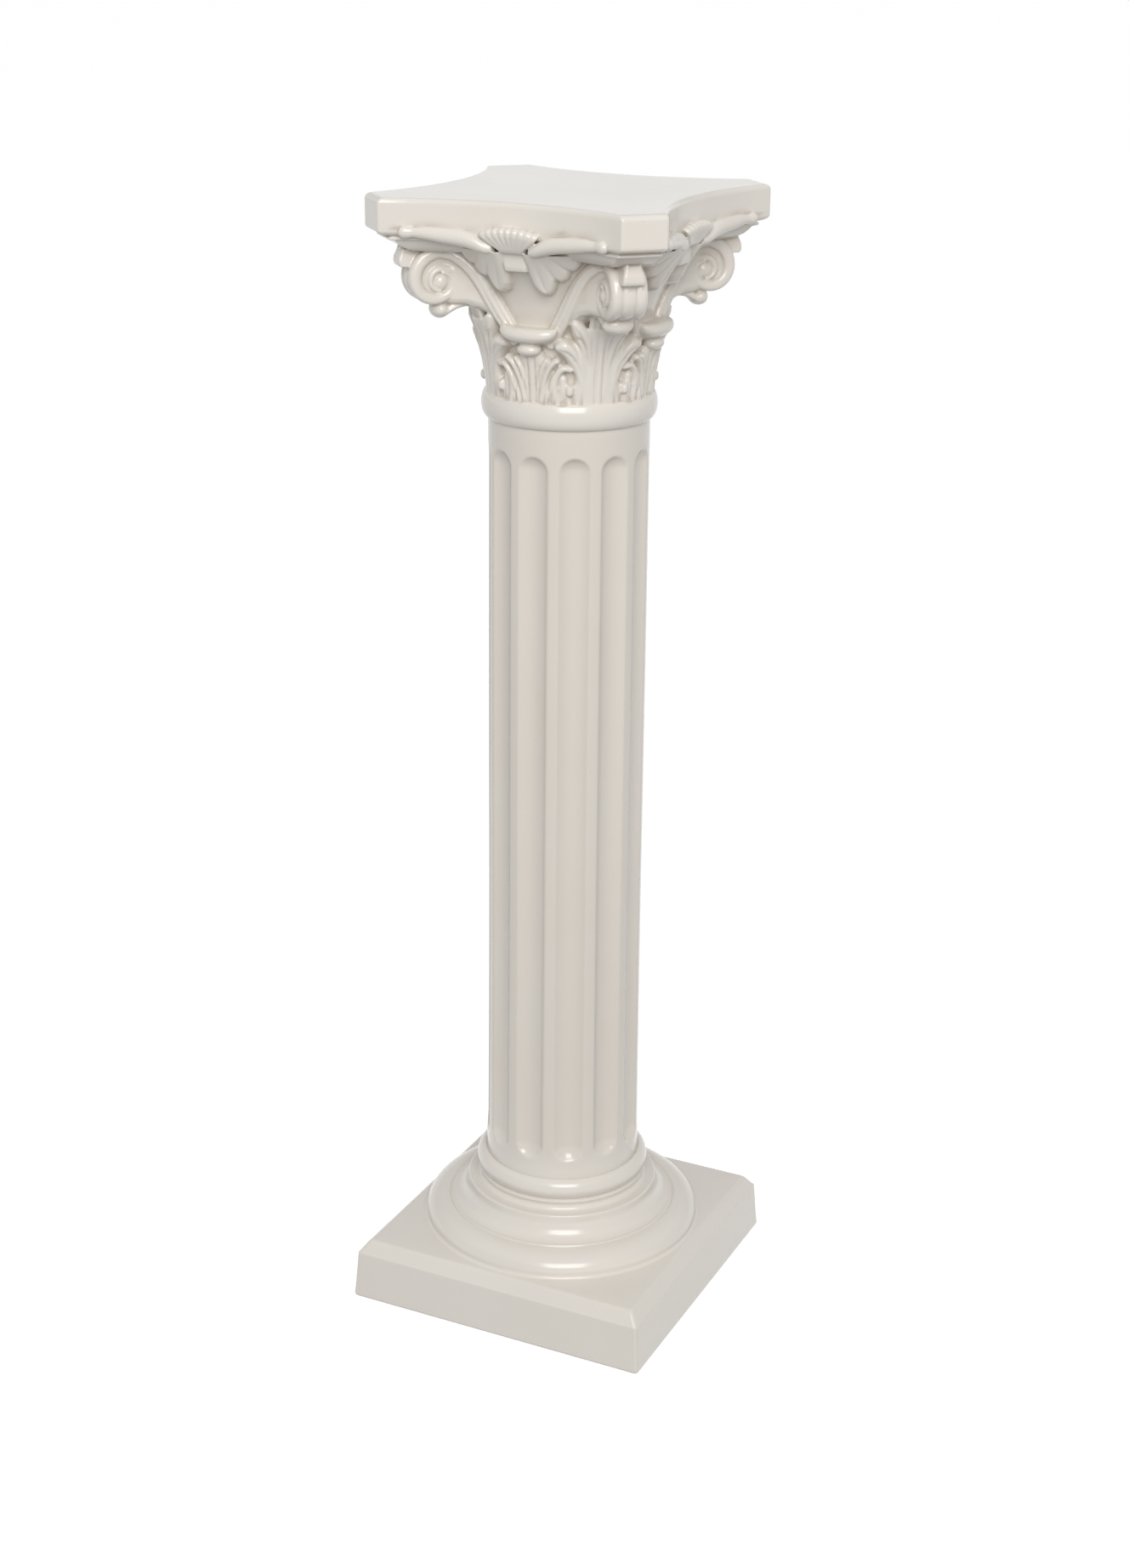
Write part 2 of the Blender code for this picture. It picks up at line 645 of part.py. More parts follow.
def corner_block(facing):
    """The small tapering block on the band, just under the abacus."""
    rings = []
    for height, half, front in CORNER_BLOCK_ROWS:
        outline = ((CORNER_BLOCK_BACK, -half), (front, -half), (front, half), (CORNER_BLOCK_BACK, half))
        rings.append([place(facing, out, side, height) for out, side in outline])
    return loft(rings)


def tall_leaf_tongue(facing):
    """The middle of a corner leaf, which arches out under the volutes to a hanging drop."""
    rings = []
    for index, (out, height) in enumerate(TONGUE_PATH):
        before = TONGUE_PATH[max(index - 1, 0)]
        after = TONGUE_PATH[min(index + 1, len(TONGUE_PATH) - 1)]
        along = Vector((after[0] - before[0], after[1] - before[1])).normalized()
        half = mix(*TONGUE_HALF_WIDTHS, index / (len(TONGUE_PATH) - 1))
        ring = []
        for across, rise in TONGUE_SECTION:
            ring.append(place(facing, out + along.y * rise, across * half, height - along.x * rise))
        rings.append(ring)
    return loft(rings)


def leaf_drop(facing):
    """The rounded tip that hangs from a corner leaf."""
    return dome(facing, DROP_CENTRE, DROP_RADII)


def tall_leaf_blade(facing):
    """The body of a corner leaf."""
    return blade(facing, TALL_BLADE)


def small_leaf_blade(facing):
    """The body of a face leaf."""
    return blade(facing, SMALL_BLADE)


def small_leaf_tip(facing):
    """The half-round tip that curls off a face leaf."""
    return dome(facing, SMALL_TIP_CENTRE, SMALL_TIP_RADII)


def calyx(facing):
    """The cup over a face leaf, with its rim rolled outward and its ends lifted."""
    rings = []
    for step in range(CALYX_STEPS + 1):
        share = mix(-1, 1, step / CALYX_STEPS)
        angle = facing + math.radians(CALYX_HALF_ANGLE) * share
        shrink = 1 - CALYX_SHRINK * share ** 4
        lift = CALYX_LIFT * abs(share) ** 3
        rings.append([place(angle, out * shrink, 0.0, height + lift) for out, height in CALYX_SECTION])
    return loft(rings)


def hanging_leaf(facing, hand):
    """The lobed leaf that hangs beside the block, with a stepped outer edge."""
    top = HANGING_LEAF_TOP
    belly = HANGING_LEAF_BELLY
    rings = []
    for side, low, front in HANGING_LEAF_ROWS:
        section = (
            (HANGING_LEAF_BACK, top),
            (front + belly, top),
            (front + belly, mix(low, top, 0.4)),
            (front - HANGING_LEAF_LIP, low),
            (HANGING_LEAF_BACK, low + HANGING_LEAF_UNDERCUT),
        )
        rings.append([place(facing, out, hand * side, height) for out, height in section])
    return loft(rings)


def face_point(facing, outward, side, height):
    """A point in the plain frame of a face: outward and sideways distances and a height."""
    return Matrix.Rotation(facing, 3, "Z") @ Vector((outward, side, height))


def face_foot():
    """Height of the lower edge of the abacus face."""
    return COLUMN_HEIGHT - ABACUS_FACE_HEIGHT


def shell(facing):
    """A ribbed scallop that spreads up over the abacus face from a narrow neck."""
    columns = 2 * SHELL_RIBS
    middle = abacus_face(0.0)
    foot = face_foot() - SHELL_DROP
    rings = []
    for column in range(columns + 1):
        across = mix(-1, 1, column / columns)
        rib = SHELL_RIB_DEPTH * (-1 if column % 2 == 0 else 1)
        crown = SHELL_RISE * (1 - SHELL_CROWN_FALL * across * across)
        ring = []
        for up, spread, bulge in SHELL_ROWS:
            side = across * mix(SHELL_NECK_HALF_WIDTH, SHELL_HALF_WIDTH, spread)
            curl = SHELL_SIDE_CURL * across * across * up
            outward = middle + SHELL_BULGE * (bulge - curl) + rib * up
            ring.append(face_point(facing, outward, side, foot + crown * up))
        top_side = across * SHELL_HALF_WIDTH * 0.97
        foot_side = across * SHELL_NECK_HALF_WIDTH * 0.8
        ring.append(face_point(facing, middle - SHELL_ROOT / 2, top_side, foot + crown))
        ring.append(face_point(facing, middle - SHELL_ROOT, foot_side, foot))
        rings.append(ring)
    return loft(rings)


def face_block(facing):
    """The small square block under the shell."""
    top = face_foot() - SHELL_DROP
    front = abacus_face(0.0) - BLOCK_SETBACK
    back = front - BLOCK_ROOT
    half = BLOCK_HALF_WIDTH
    rings = []
    for share, setback in BLOCK_ROWS:
        reach = front - BLOCK_HEIGHT * setback
        height = top - BLOCK_HEIGHT * share
        ring = [face_point(facing, out, side, height)
                for out, side in ((back, -half), (reach, -half), (reach, half), (back, half))]
        rings.append(ring)
    return loft(rings)


def swag(facing, hand):
    """A soft garland along the lower edge of the abacus, with a knob at its outer end."""
    end = ABACUS_WIDTH / 2 - ABACUS_CORNER_CUT - SWAG_CORNER_GAP
    rings = []
    for share, size, drop in SWAG_ROWS:
        side = mix(SWAG_START, end, share)
        outward = abacus_face(side)
        ring = []
        for corner in range(SWAG_SIDES):
            angle = math.tau * corner / SWAG_SIDES
            out = outward + SWAG_HALF_THICKNESS * size * math.cos(angle)
            height = face_foot() + SWAG_HALF_THICKNESS * (size * math.sin(angle) - drop)
            ring.append(face_point(facing, out, hand * side, height))
        rings.append(ring)
    return loft(rings)


def hands(make):
    """The left and right makers of an ornament that has two hands."""
    return [lambda facing, hand=hand: make(facing, hand) for hand in (-1, 1)]


def side_lobes(drawing, steps=4):
    """A finger of a leaf for each hand, from one drawing."""
    return hands(lambda facing, hand: lobe(facing, hand, drawing, steps))


def corner_ornaments():
    """Makers of everything that repeats at the corners."""
    makers = [web, tall_leaf_blade, tall_leaf_tongue, leaf_drop, band, corner_block]
    makers += hands(stem_and_roll)
    makers += hands(volute_eye)
    makers += side_lobes(EAR_LOBE)
    makers += side_lobes(SIDE_LOBE, 5)
    makers += side_lobes(HOOK_LOBE, 5)
    makers += side_lobes(BULGE_LOBE, 3)
    return makers


def face_ornaments():
    """Makers of everything that repeats on the faces."""
    makers = [calyx, small_leaf_blade, small_leaf_tip, face_block, shell]
    makers += side_lobes(SMALL_SIDE_LOBE)
    makers += hands(swag)
    makers += hands(hanging_leaf)
    return makers


def close_seams(target):
    """Welds the hair-thin slivers that a union leaves and keeps the surface in triangles."""
    mesh = bmesh.new()
    mesh.from_mesh(target.data)
    bmesh.ops.remove_doubles(mesh, verts=mesh.verts, dist=WELD)
    bmesh.ops.dissolve_degenerate(mesh, edges=mesh.edges, dist=WELD)
    bmesh.ops.triangulate(mesh, faces=mesh.faces)
    mesh.to_mesh(target.data)
    mesh.free()


def simplify(target, triangles):
    """Thins out the small facets left where ornaments run into each other."""
    thin = target.modifiers.new("thin", "DECIMATE")
    thin.ratio = min(1.0, triangles / len(target.data.polygons))
    graph = bpy.context.evaluated_depsgraph_get()
    mesh = bpy.data.meshes.new_from_object(target.evaluated_get(graph))
    target.modifiers.clear()
    target.data = mesh


def carving():
    """The bell with every leaf, volute, shell and swag of the capital."""
    whole = to_object("carving", [bell()])
    for number, make in enumerate(corner_ornaments()):
        unite(whole, repeat_round(f"corner_{number}", make, 45), "MANIFOLD")
    for number, make in enumerate(face_ornaments()):
        unite(whole, repeat_round(f"face_{number}", make, 0), "MANIFOLD")
    close_seams(whole)
    simplify(whole, CARVING_TRIANGLES)
    return whole


def build():
    """Joins the turned parts, the carving and the abacus into one body."""
    clear_scene()
    column = to_object("corinthian_column", [plinth()])
    unite(column, to_object("base", [lathe(base_profile(), BASE_SIDES)]))
    unite(column, to_object("shaft", [shaft()]))
    unite(column, to_object("neck", [neck_roll()]))
    unite(column, carving(), "MANIFOLD")
    unite(column, to_object("abacus", [abacus()]), "MANIFOLD")
    close_seams(column)
    column.data.materials.clear()
    column.data.materials.append(glaze_material())
    column.data.shade_smooth()
    column.data.set_sharp_from_angle(angle=math.radians(35))


build()
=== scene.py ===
"""The looks of a white glazed pedestal column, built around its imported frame.

Metres, +Z up. The carving of the capital is drawn in millimetres, in the frame of one face and
one corner: outward from the axis, sideways, and up from the capital's foot. Each face and each
corner then gets the same carving by quarter turns.
"""
from __future__ import annotations

import logging
import math
from dataclasses import dataclass, field
from enum import Enum
from typing import Sequence

import bmesh
import bpy
import numpy as np
from mathutils import Matrix, Vector

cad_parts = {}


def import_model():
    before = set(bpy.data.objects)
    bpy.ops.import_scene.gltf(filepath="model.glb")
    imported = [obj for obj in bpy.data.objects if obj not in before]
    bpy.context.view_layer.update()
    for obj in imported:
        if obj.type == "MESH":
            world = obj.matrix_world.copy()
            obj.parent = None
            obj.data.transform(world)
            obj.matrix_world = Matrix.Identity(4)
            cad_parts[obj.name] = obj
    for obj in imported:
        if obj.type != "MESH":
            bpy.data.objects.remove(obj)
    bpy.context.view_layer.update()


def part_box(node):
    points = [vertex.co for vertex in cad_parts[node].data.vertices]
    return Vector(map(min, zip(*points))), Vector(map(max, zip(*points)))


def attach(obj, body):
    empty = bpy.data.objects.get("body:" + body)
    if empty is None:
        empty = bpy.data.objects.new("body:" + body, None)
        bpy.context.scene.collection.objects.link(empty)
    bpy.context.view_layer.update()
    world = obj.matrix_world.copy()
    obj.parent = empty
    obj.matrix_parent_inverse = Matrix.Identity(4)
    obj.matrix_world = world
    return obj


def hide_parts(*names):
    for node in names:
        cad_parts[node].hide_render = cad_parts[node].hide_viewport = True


LOG = logging.getLogger("column")
MM = 0.001
NODE = "corinthian_column"
BODY = "root"
SLOT = "white_glaze"
IMAGE_WIDTH = 1328
IMAGE_HEIGHT = 1845
CAPITAL_HEIGHT = 0.162
QUARTERS = 4
STROKE_STEPS = 20
RIDGE_POWER = 2.4
BLADE_POWER = 5

Points = Sequence[Sequence[float]]
Pair = tuple[float, float]
Place = tuple[float, float, float]
Colour = tuple[float, float, float, float]
Rows = tuple[tuple[float, ...], ...]


class Hand(Enum):
    """The two hands of an ornament that is mirrored about its face or corner."""

    LEFT = -1
    RIGHT = 1


class Facing(Enum):
    """Where the modelled face and corner look, in degrees round the axis."""

    FACE = 0.0
    CORNER = 45.0


class Mark(Enum):
    """What a stroke of the leaf relief does to the surface."""

    RIDGE = "ridge"
    SWELL = "swell"
    GROOVE = "groove"


class Sharp(Enum):
    """Edges that turn by more than this many degrees stay sharp."""

    MOULDED = 40
    FLUTED = 60
    NONE = 180


class Solver(Enum):
    """How a Boolean union is worked out."""

    EXACT = "EXACT"
    MANIFOLD = "MANIFOLD"


@dataclass
class Body:
    """A closed shell as arrays of points, four-sided faces and triangles."""

    points: np.ndarray
    quads: np.ndarray
    triangles: np.ndarray

    def volume(self) -> float:
        """Works out the signed volume.

        Returns:
            The volume, negative where the faces look inward.
        """
        fans = np.vstack([self.triangles, self.quads[:, [0, 1, 2]], self.quads[:, [0, 2, 3]]])
        first, second, third = (self.points[fans[:, corner]] for corner in range(3))
        return float(np.einsum("ij,ij->i", first, np.cross(second, third)).sum() / 6)

    def outward(self) -> Body:
        """Turns the faces outward where they look inward.

        Returns:
            The same shell.
        """
        if self.volume() < 0:
            self.quads = self.quads[:, ::-1]
            self.triangles = self.triangles[:, ::-1]
        return self


def read_curve(points: Points, shares: np.ndarray) -> np.ndarray:
    """Reads the smooth curve through a few points.

    Args:
        points: The curve's own points, each with any count of values.
        shares: Places along the curve, from 0 to 1.

    Returns:
        One row of values for each share.
    """
    knots = np.asarray(points, float)
    spans = len(knots) - 1
    place = np.clip(shares, 0.0, 1.0) * spans
    index = np.minimum(place.astype(int), spans - 1)
    local = (place - index)[:, None]
    here, there = knots[index], knots[index + 1]
    slope_in = (there - knots[np.maximum(index - 1, 0)]) / 2
    slope_out = (knots[np.minimum(index + 2, spans)] - here) / 2
    rise = there - here
    cubic = slope_in + slope_out - 2 * rise
    square = 3 * rise - 2 * slope_in - slope_out
    return ((cubic * local + square) * local + slope_in) * local + here


def read_values(values: Sequence[float], shares: np.ndarray) -> np.ndarray:
    """The smooth curve through single values, read at shares from 0 to 1."""
    return read_curve([(value,) for value in values], shares)[:, 0]


def unit(rows: np.ndarray) -> np.ndarray:
    """The same directions, each one unit long."""
    return rows / np.linalg.norm(rows, axis=1)[:, None]


def arc(centre: Sequence[float], radii: Sequence[float], start: float, end: float,
        steps: int) -> list[Pair]:
    """Points of an elliptic arc as (radius, height) pairs, with angles in degrees."""
    angles = np.radians(np.linspace(start, end, steps + 1))
    return [(centre[0] + radii[0] * math.cos(a), centre[1] + radii[1] * math.sin(a)) for a in angles]


def loft(rings: np.ndarray) -> Body:
    """Makes a closed shell through rings of equal length, each end fanned to its middle.

    Args:
        rings: Points as an array of rings, points in a ring, and three values.

    Returns:
        The shell, with its faces looking outward.
    """
    rows, count = rings.shape[:2]
    points = np.vstack([rings.reshape(-1, 3), rings[0].mean(0), rings[-1].mean(0)])
    side = np.arange(count)
    after = (side + 1) % count
    starts = np.arange(rows - 1)[:, None] * count
    quads = np.stack([starts + side, starts + after, starts + after + count, starts + side + count], -1)
    last = (rows - 1) * count
    foot = np.stack([after, side, np.full(count, rows * count)], -1)
    head = np.stack([last + side, last + after, np.full(count, rows * count + 1)], -1)
    return Body(points, quads.reshape(-1, 4), np.vstack([foot, head])).outward()


def lathe(profile: Points, sides: int) -> Body:
    """Makes a turned shell.

    Args:
        profile: Pairs of radius and height, from its foot to its head.
        sides: Count of its sides.

    Returns:
        The shell.
    """
    outline = np.asarray(profile, float)
    angles = np.arange(sides) * math.tau / sides
    rings = np.empty((len(outline), sides, 3))
    rings[..., 0] = outline[:, :1] * np.cos(angles)
    rings[..., 1] = outline[:, :1] * np.sin(angles)
    rings[..., 2] = outline[:, 1:]
    return loft(rings)


def to_object(name: str, bodies: Sequence[Body]) -> bpy.types.Object:
    """Puts shells side by side into one new object.

    Args:
        name: The object's name.
        bodies: The shells.

    Returns:
        The object, without a material.
    """
    points, faces, start = [], [], 0
    for body in bodies:
        points.append(body.points)
        faces += (body.quads + start).tolist() + (body.triangles + start).tolist()
        start += len(body.points)
    mesh = bpy.data.meshes.new(name)
    mesh.from_pydata(np.vstack(points).tolist(), [], faces)
    mesh.update()
    piece = bpy.data.objects.new(name, mesh)
    bpy.context.scene.collection.objects.link(piece)
    return piece


def read_rows(items: Sequence, name: str, width: int, kind: type = float) -> np.ndarray:
    """Reads one property of all vertices, normals or edges of a mesh.

    Args:
        items: The mesh's vertices, normals or edges.
        name: The property's name.
        width: Count of its values for each item.
        kind: The type of its values.

    Returns:
        One row for each item.
    """
    rows = np.empty(len(items) * width, kind)
    items.foreach_get(name, rows)
    return rows.reshape(-1, width)


def bake_modifiers(piece: bpy.types.Object) -> None:
    """Turns an object's modifiers into its own mesh and removes them.

    Args:
        piece: The object.
    """
    graph = bpy.context.evaluated_depsgraph_get()
    mesh = bpy.data.meshes.new_from_object(piece.evaluated_get(graph))
    piece.modifiers.clear()
    piece.data = mesh


def unite(piece: bpy.types.Object, other: bpy.types.Object, solver: Solver) -> None:
    """Joins another object to a piece by a Boolean union and removes the other.

    Args:
        piece: The object that is kept.
        other: The object that is joined to it.
        solver: How the union is worked out.
    """
    join = piece.modifiers.new("join", "BOOLEAN")
    join.operation = "UNION"
    join.solver = solver.value
    join.object = other
    bake_modifiers(piece)
    bpy.data.objects.remove(other, do_unlink=True)


class Wire:
    """A node's output that can stand in a Python expression on numbers."""

    def __init__(self, shop: NodeShop, socket: bpy.types.NodeSocket) -> None:
        """Keeps the socket and the shop that adds further nodes."""
        self.shop = shop
        self.socket = socket

    def math(self, operation: str, *others: Wire | float, clamp: bool = False) -> Wire:
        """Adds one Math node that starts from this output.

        Args:
            operation: The Math node's operation.
            others: Its further values or outputs.
            clamp: Whether the result is held between 0 and 1.

        Returns:
            The node's result.
        """
        settings = {"operation": operation, "use_clamp": clamp}
        links = dict(enumerate((self, *others)))
        return self.shop.add("ShaderNodeMath", settings, links)

    def __add__(self, other: Wire | float) -> Wire:
        """Sum."""
        return self.math("ADD", other)

    __radd__ = __add__

    def __mul__(self, other: Wire | float) -> Wire:
        """Product."""
        return self.math("MULTIPLY", other)

    __rmul__ = __mul__

    def __sub__(self, other: Wire | float) -> Wire:
        """Difference."""
        return self.math("SUBTRACT", other)

    def __rsub__(self, other: float) -> Wire:
        """Difference with the number first."""
        return self * -1.0 + other

    def __truediv__(self, other: Wire | float) -> Wire:
        """Quotient."""
        return self.math("DIVIDE", other)

    def __pow__(self, other: float) -> Wire:
        """Power."""
        return self.math("POWER", other)

    def held(self) -> Wire:
        """The value held between 0 and 1."""
        return self.math("ADD", 0.0, clamp=True)


class NodeShop:
    """Adds nodes to one tree and links them."""

    def __init__(self, tree: bpy.types.NodeTree) -> None:
        """Starts from an empty tree."""
        self.tree = tree
        self.tree.nodes.clear()

    def add(self, kind: str, settings: dict | None = None, links: dict | None = None,
            out: str | int = 0) -> Wire:
        """Adds a node, makes its settings, then fills its inputs.

        Args:
            kind: The node's type.
            settings: Its own settings, such as an operation.
            links: A value or an output for each named or numbered input.
            out: The output that is handed back.

        Returns:
            The chosen output, or one with no socket for a node without outputs.
        """
        node = self.tree.nodes.new(kind)
        for name, value in (settings or {}).items():
            setattr(node, name, value)
        for name, value in (links or {}).items():
            if isinstance(value, Wire):
                self.tree.links.new(value.socket, node.inputs[name])
            else:
                node.inputs[name].default_value = value
        return Wire(self, node.outputs[out] if len(node.outputs) else None)

    def other(self, wire: Wire, out: str | int) -> Wire:
        """Another output of the node that an output belongs to."""
        return Wire(self, wire.socket.node.outputs[out])


class GeometryTree:
    """A Geometry Nodes tree with named inputs, used once on an object."""

    def __init__(self, name: str, inputs: dict[str, tuple[str, object]]) -> None:
        """Makes the tree and its inputs.

        Args:
            name: The tree's name.
            inputs: For each named input its socket type and value.
        """
        self.tree = bpy.data.node_groups.new(name, "GeometryNodeTree")
        face = self.tree.interface
        face.new_socket(name="Geometry", in_out="INPUT", socket_type="NodeSocketGeometry")
        self.values = {}
        for title, (kind, value) in inputs.items():
            socket = face.new_socket(name=title, in_out="INPUT", socket_type=kind)
            self.values[socket.identifier] = value
        face.new_socket(name="Geometry", in_out="OUTPUT", socket_type="NodeSocketGeometry")
        self.shop = NodeShop(self.tree)
        self.start = self.shop.add("NodeGroupInput")

    def given(self, title: str) -> Wire:
        """The output that carries a named input."""
        return self.shop.other(self.start, title)

    def finish(self, geometry: Wire) -> None:
        """Ends the tree: real geometry, then the given material.

        Args:
            geometry: What the tree has made.
        """
        real = self.shop.add("GeometryNodeRealizeInstances", None, {"Geometry": geometry})
        links = {"Geometry": real, "Material": self.given("Material")}
        dressed = self.shop.add("GeometryNodeSetMaterial", None, links)
        self.shop.add("NodeGroupOutput", None, {"Geometry": dressed})

    def run(self, piece: bpy.types.Object) -> None:
        """Runs the tree on an object and keeps its result as a plain mesh.

        Args:
            piece: The object.
        """
        modifier = piece.modifiers.new(self.tree.name, "NODES")
        modifier.node_group = self.tree
        for identifier, value in self.values.items():
            modifier[identifier] = value
        bake_modifiers(piece)


@dataclass(frozen=True)
class Glaze:
    """White ceramic glaze: warm, with a faint ripple, soft clouds and pinholes.

    It carries painted shade: it is darker and warmer in the hollows and under the abacus that the attribute
    marks, and on the shaft; its pinholes are darker too.
    """

    colour: Colour = (0.745, 0.708, 0.655, 1.0)
    cloud_colour: Colour = (0.72, 0.677, 0.617, 1.0)
    # Painted shade colour: put in the hollows, under the abacus and along the shaft; the pinholes take it too.
    shade_and_pit_colour: Colour = (0.43, 0.365, 0.285, 1.0)
    # Painted shade along the shaft: the band between its foot and head is a little darker and warmer.
    shaft_foot: float = 0.135
    shaft_head: float = 0.822
    shaft_shade_share: float = 0.15
    shaft_fade: float = 60.0
    # How far the painted shade in the hollows and under the abacus darkens the glaze.
    painted_shade_share: float = 0.9
    pit_share: float = 0.35
    cloud_floor: float = 0.4
    cloud_gain: float = 2.2
    roughness: float = 0.22
    roughness_spread: float = 0.10
    grain_roughness: float = 0.05
    coat: float = 0.35
    coat_roughness: float = 0.12
    cloud_scale: float = 9.0
    ripple_scale: float = 55.0
    grain_scale: float = 420.0
    ripple_height: float = 0.5
    grain_height: float = 0.03
    bump_strength: float = 0.22
    bump_distance: float = 0.0012
    pit_scale: float = 70.0
    pit_radius: float = 0.06
    pit_edge: float = 30.0
    pit_depth: float = 0.25
    pit_field_scale: float = 6.0
    pit_field_floor: float = 0.58
    pit_field_gain: float = 12.0

    def make(self) -> bpy.types.Material:
        """Builds the material.

        Returns:
            The material with its whole node tree.
        """
        material = bpy.data.materials.new(SLOT)
        material.use_nodes = True
        shop = NodeShop(material.node_tree)
        place = shop.add("ShaderNodeTexCoord", out="Object")
        cloud = self.noise(shop, place, self.cloud_scale, 4.0)
        ripple = self.noise(shop, place, self.ripple_scale, 2.0)
        grain = self.noise(shop, place, self.grain_scale, 3.0)
        # Painted shade that the capital's attribute marks in its hollows and under the abacus.
        painted_shade = shop.add("ShaderNodeAttribute", {"attribute_name": "painted_shade"}, out="Fac")
        pits = self.pits(shop, place)
        clouds = ((cloud - self.cloud_floor) * self.cloud_gain).held()
        clouded = self.blend(shop, clouds, self.colour, self.cloud_colour)
        level = shop.other(shop.add("ShaderNodeSeparateXYZ", None, {0: place}), 2)
        # Painted shade: the shaft a little darker and warmer from its foot to its head.
        over_foot = ((level - self.shaft_foot) * self.shaft_fade).held()
        under_head = ((self.shaft_head - level) * self.shaft_fade).held()
        painted_shaft_shade = over_foot * under_head * self.shaft_shade_share
        # Painted shade in the hollows and on the shaft, with the pinholes, mixed towards the shade colour.
        painted_darkening = (painted_shade * self.painted_shade_share + pits * self.pit_share + painted_shaft_shade).held()
        pooled = self.blend(shop, painted_darkening, clouded, self.shade_and_pit_colour)
        rough = self.roughness + (cloud - 0.5) * self.roughness_spread + \
            (grain - 0.5) * self.grain_roughness
        height = ripple * self.ripple_height + grain * self.grain_height - pits * self.pit_depth
        bump = shop.add("ShaderNodeBump", None, {
            "Strength": self.bump_strength, "Distance": self.bump_distance, "Height": height})
        shader = shop.add("ShaderNodeBsdfPrincipled", None, {
            "Base Color": pooled,
            "Roughness": rough.held(),
            "Metallic": 0.0,
            "Coat Weight": self.coat,
            "Coat Roughness": self.coat_roughness,
            "Normal": bump,
        })
        shop.add("ShaderNodeOutputMaterial", None, {"Surface": shader})
        return material

    @staticmethod
    def noise(shop: NodeShop, place: Wire, scale: float, detail: float) -> Wire:
        """A soft noise between 0 and 1 at a scale in waves per metre."""
        links = {"Vector": place, "Scale": scale, "Detail": detail}
        return shop.add("ShaderNodeTexNoise", None, links)

    def pits(self, shop: NodeShop, place: Wire) -> Wire:
        """Small pinholes, scattered over parts of the glaze.

        Args:
            shop: The material's nodes.
            place: The place on the surface.

        Returns:
            1 in the middle of a pinhole and 0 elsewhere.
        """
        links = {"Vector": place, "Scale": self.pit_scale}
        distance = shop.add("ShaderNodeTexVoronoi", {"feature": "F1"}, links)
        chance = self.noise(shop, place, self.pit_field_scale, 1.0)
        hole = ((self.pit_radius - distance) * self.pit_edge).held()
        return hole * ((chance - self.pit_field_floor) * self.pit_field_gain).held()

    @staticmethod
    def blend(shop: NodeShop, share: Wire, first: Wire | tuple, second: Wire | tuple) -> Wire:
        """A colour that lies a share of the way between two."""
        settings = {"data_type": "RGBA", "blend_type": "MIX"}
        return shop.add("ShaderNodeMix", settings, {0: share, 6: first, 7: second}, out=2)


@dataclass(frozen=True)
class StudioPaint:
    """The plain pale floor of the studio."""

    colour: Colour = (0.93, 0.93, 0.93, 1.0)
    roughness: float = 0.9
    glow: float = 0.48

    def make(self) -> bpy.types.Material:
        """Builds the material.

        Returns:
            The material with its whole node tree.
        """
        material = bpy.data.materials.new("studio_floor")
        material.use_nodes = True
        shop = NodeShop(material.node_tree)
        shader = shop.add("ShaderNodeBsdfPrincipled", None, {
            "Base Color": self.colour,
            "Roughness": self.roughness,
            "Emission Color": self.colour,
            "Emission Strength": self.glow,
        })
        shop.add("ShaderNodeOutputMaterial", None, {"Surface": shader})
        return material


def turn_quarters(quarter: np.ndarray, height: float) -> np.ndarray:
    """Turns the plan of one quarter four times round the axis.

    Args:
        quarter: The quarter's points, against the clock.
        height: The height at which the whole ring lies.

    Returns:
        The ring's points.
    """
    turns = np.arange(QUARTERS)[:, None] * math.tau / QUARTERS
    x = quarter[:, 0] * np.cos(turns) - quarter[:, 1] * np.sin(turns)
    y = quarter[:, 0] * np.sin(turns) + quarter[:, 1] * np.cos(turns)
    return np.stack([x.ravel(), y.ravel(), np.full(x.size, height)], -1)


@dataclass
class Plinth:
    """The square block with soft edges, a sloped border and a flat top."""

    width: float = 0.288
    draft: float = 0.003
    face_height: float = 0.045
    border_width: float = 0.010
    border_rise: float = 0.0115
    foot_round: float = 0.003
    edge_round: float = 0.0018
    corner_round: float = 0.0032
    corner_steps: int = 6
    side_steps: int = 24
    border_foot: tuple[Pair, ...] = ((0.0035, -0.0028), (0.0014, -0.0008), (-0.001, 0.0))

    @property
    def top(self) -> float:
        """Height of the flat that the base mouldings stand on."""
        return self.face_height + self.border_rise

    def ring(self, half: float, height: float) -> np.ndarray:
        """One rounded square ring at a height.

        Args:
            half: Half of the ring's width.
            height: Its height above the floor.

        Returns:
            The ring's points.
        """
        flat = half - self.corner_round
        angles = np.radians(np.linspace(0, 90, self.corner_steps + 1))
        corner = [(flat + self.corner_round * math.cos(a), flat + self.corner_round * math.sin(a))
                  for a in angles]
        side = [(flat * (1 - 2 * share), half)
                for share in np.linspace(0, 1, self.side_steps + 1)[1:-1]]
        return turn_quarters(np.array(corner + side), height)

    def body(self) -> Body:
        """Builds the block.

        Returns:
            The closed shell.
        """
        half = self.width / 2
        low = self.foot_round
        shoulder = half - self.draft
        inner = shoulder - self.border_width
        slope = math.degrees(math.atan2(self.border_rise, self.border_width))
        rows = [(half - low - 0.004, 0.0)]
        rows += arc((half - low, low), (low, low), -90, 0, 6)
        rows += [(half - self.draft * share, self.face_height * share) for share in (0.3, 0.6, 0.9)]
        edge = (shoulder - self.edge_round, self.face_height - self.edge_round * 0.4)
        rows += arc(edge, (self.edge_round, self.edge_round), 0, 90 - slope * 0.55, 5)
        rows += [(inner + out, self.top + up) for out, up in self.border_foot]
        rows += [(inner * share, self.top) for share in (0.85, 0.6)]
        return loft(np.array([self.ring(reach, height) for reach, height in rows]))


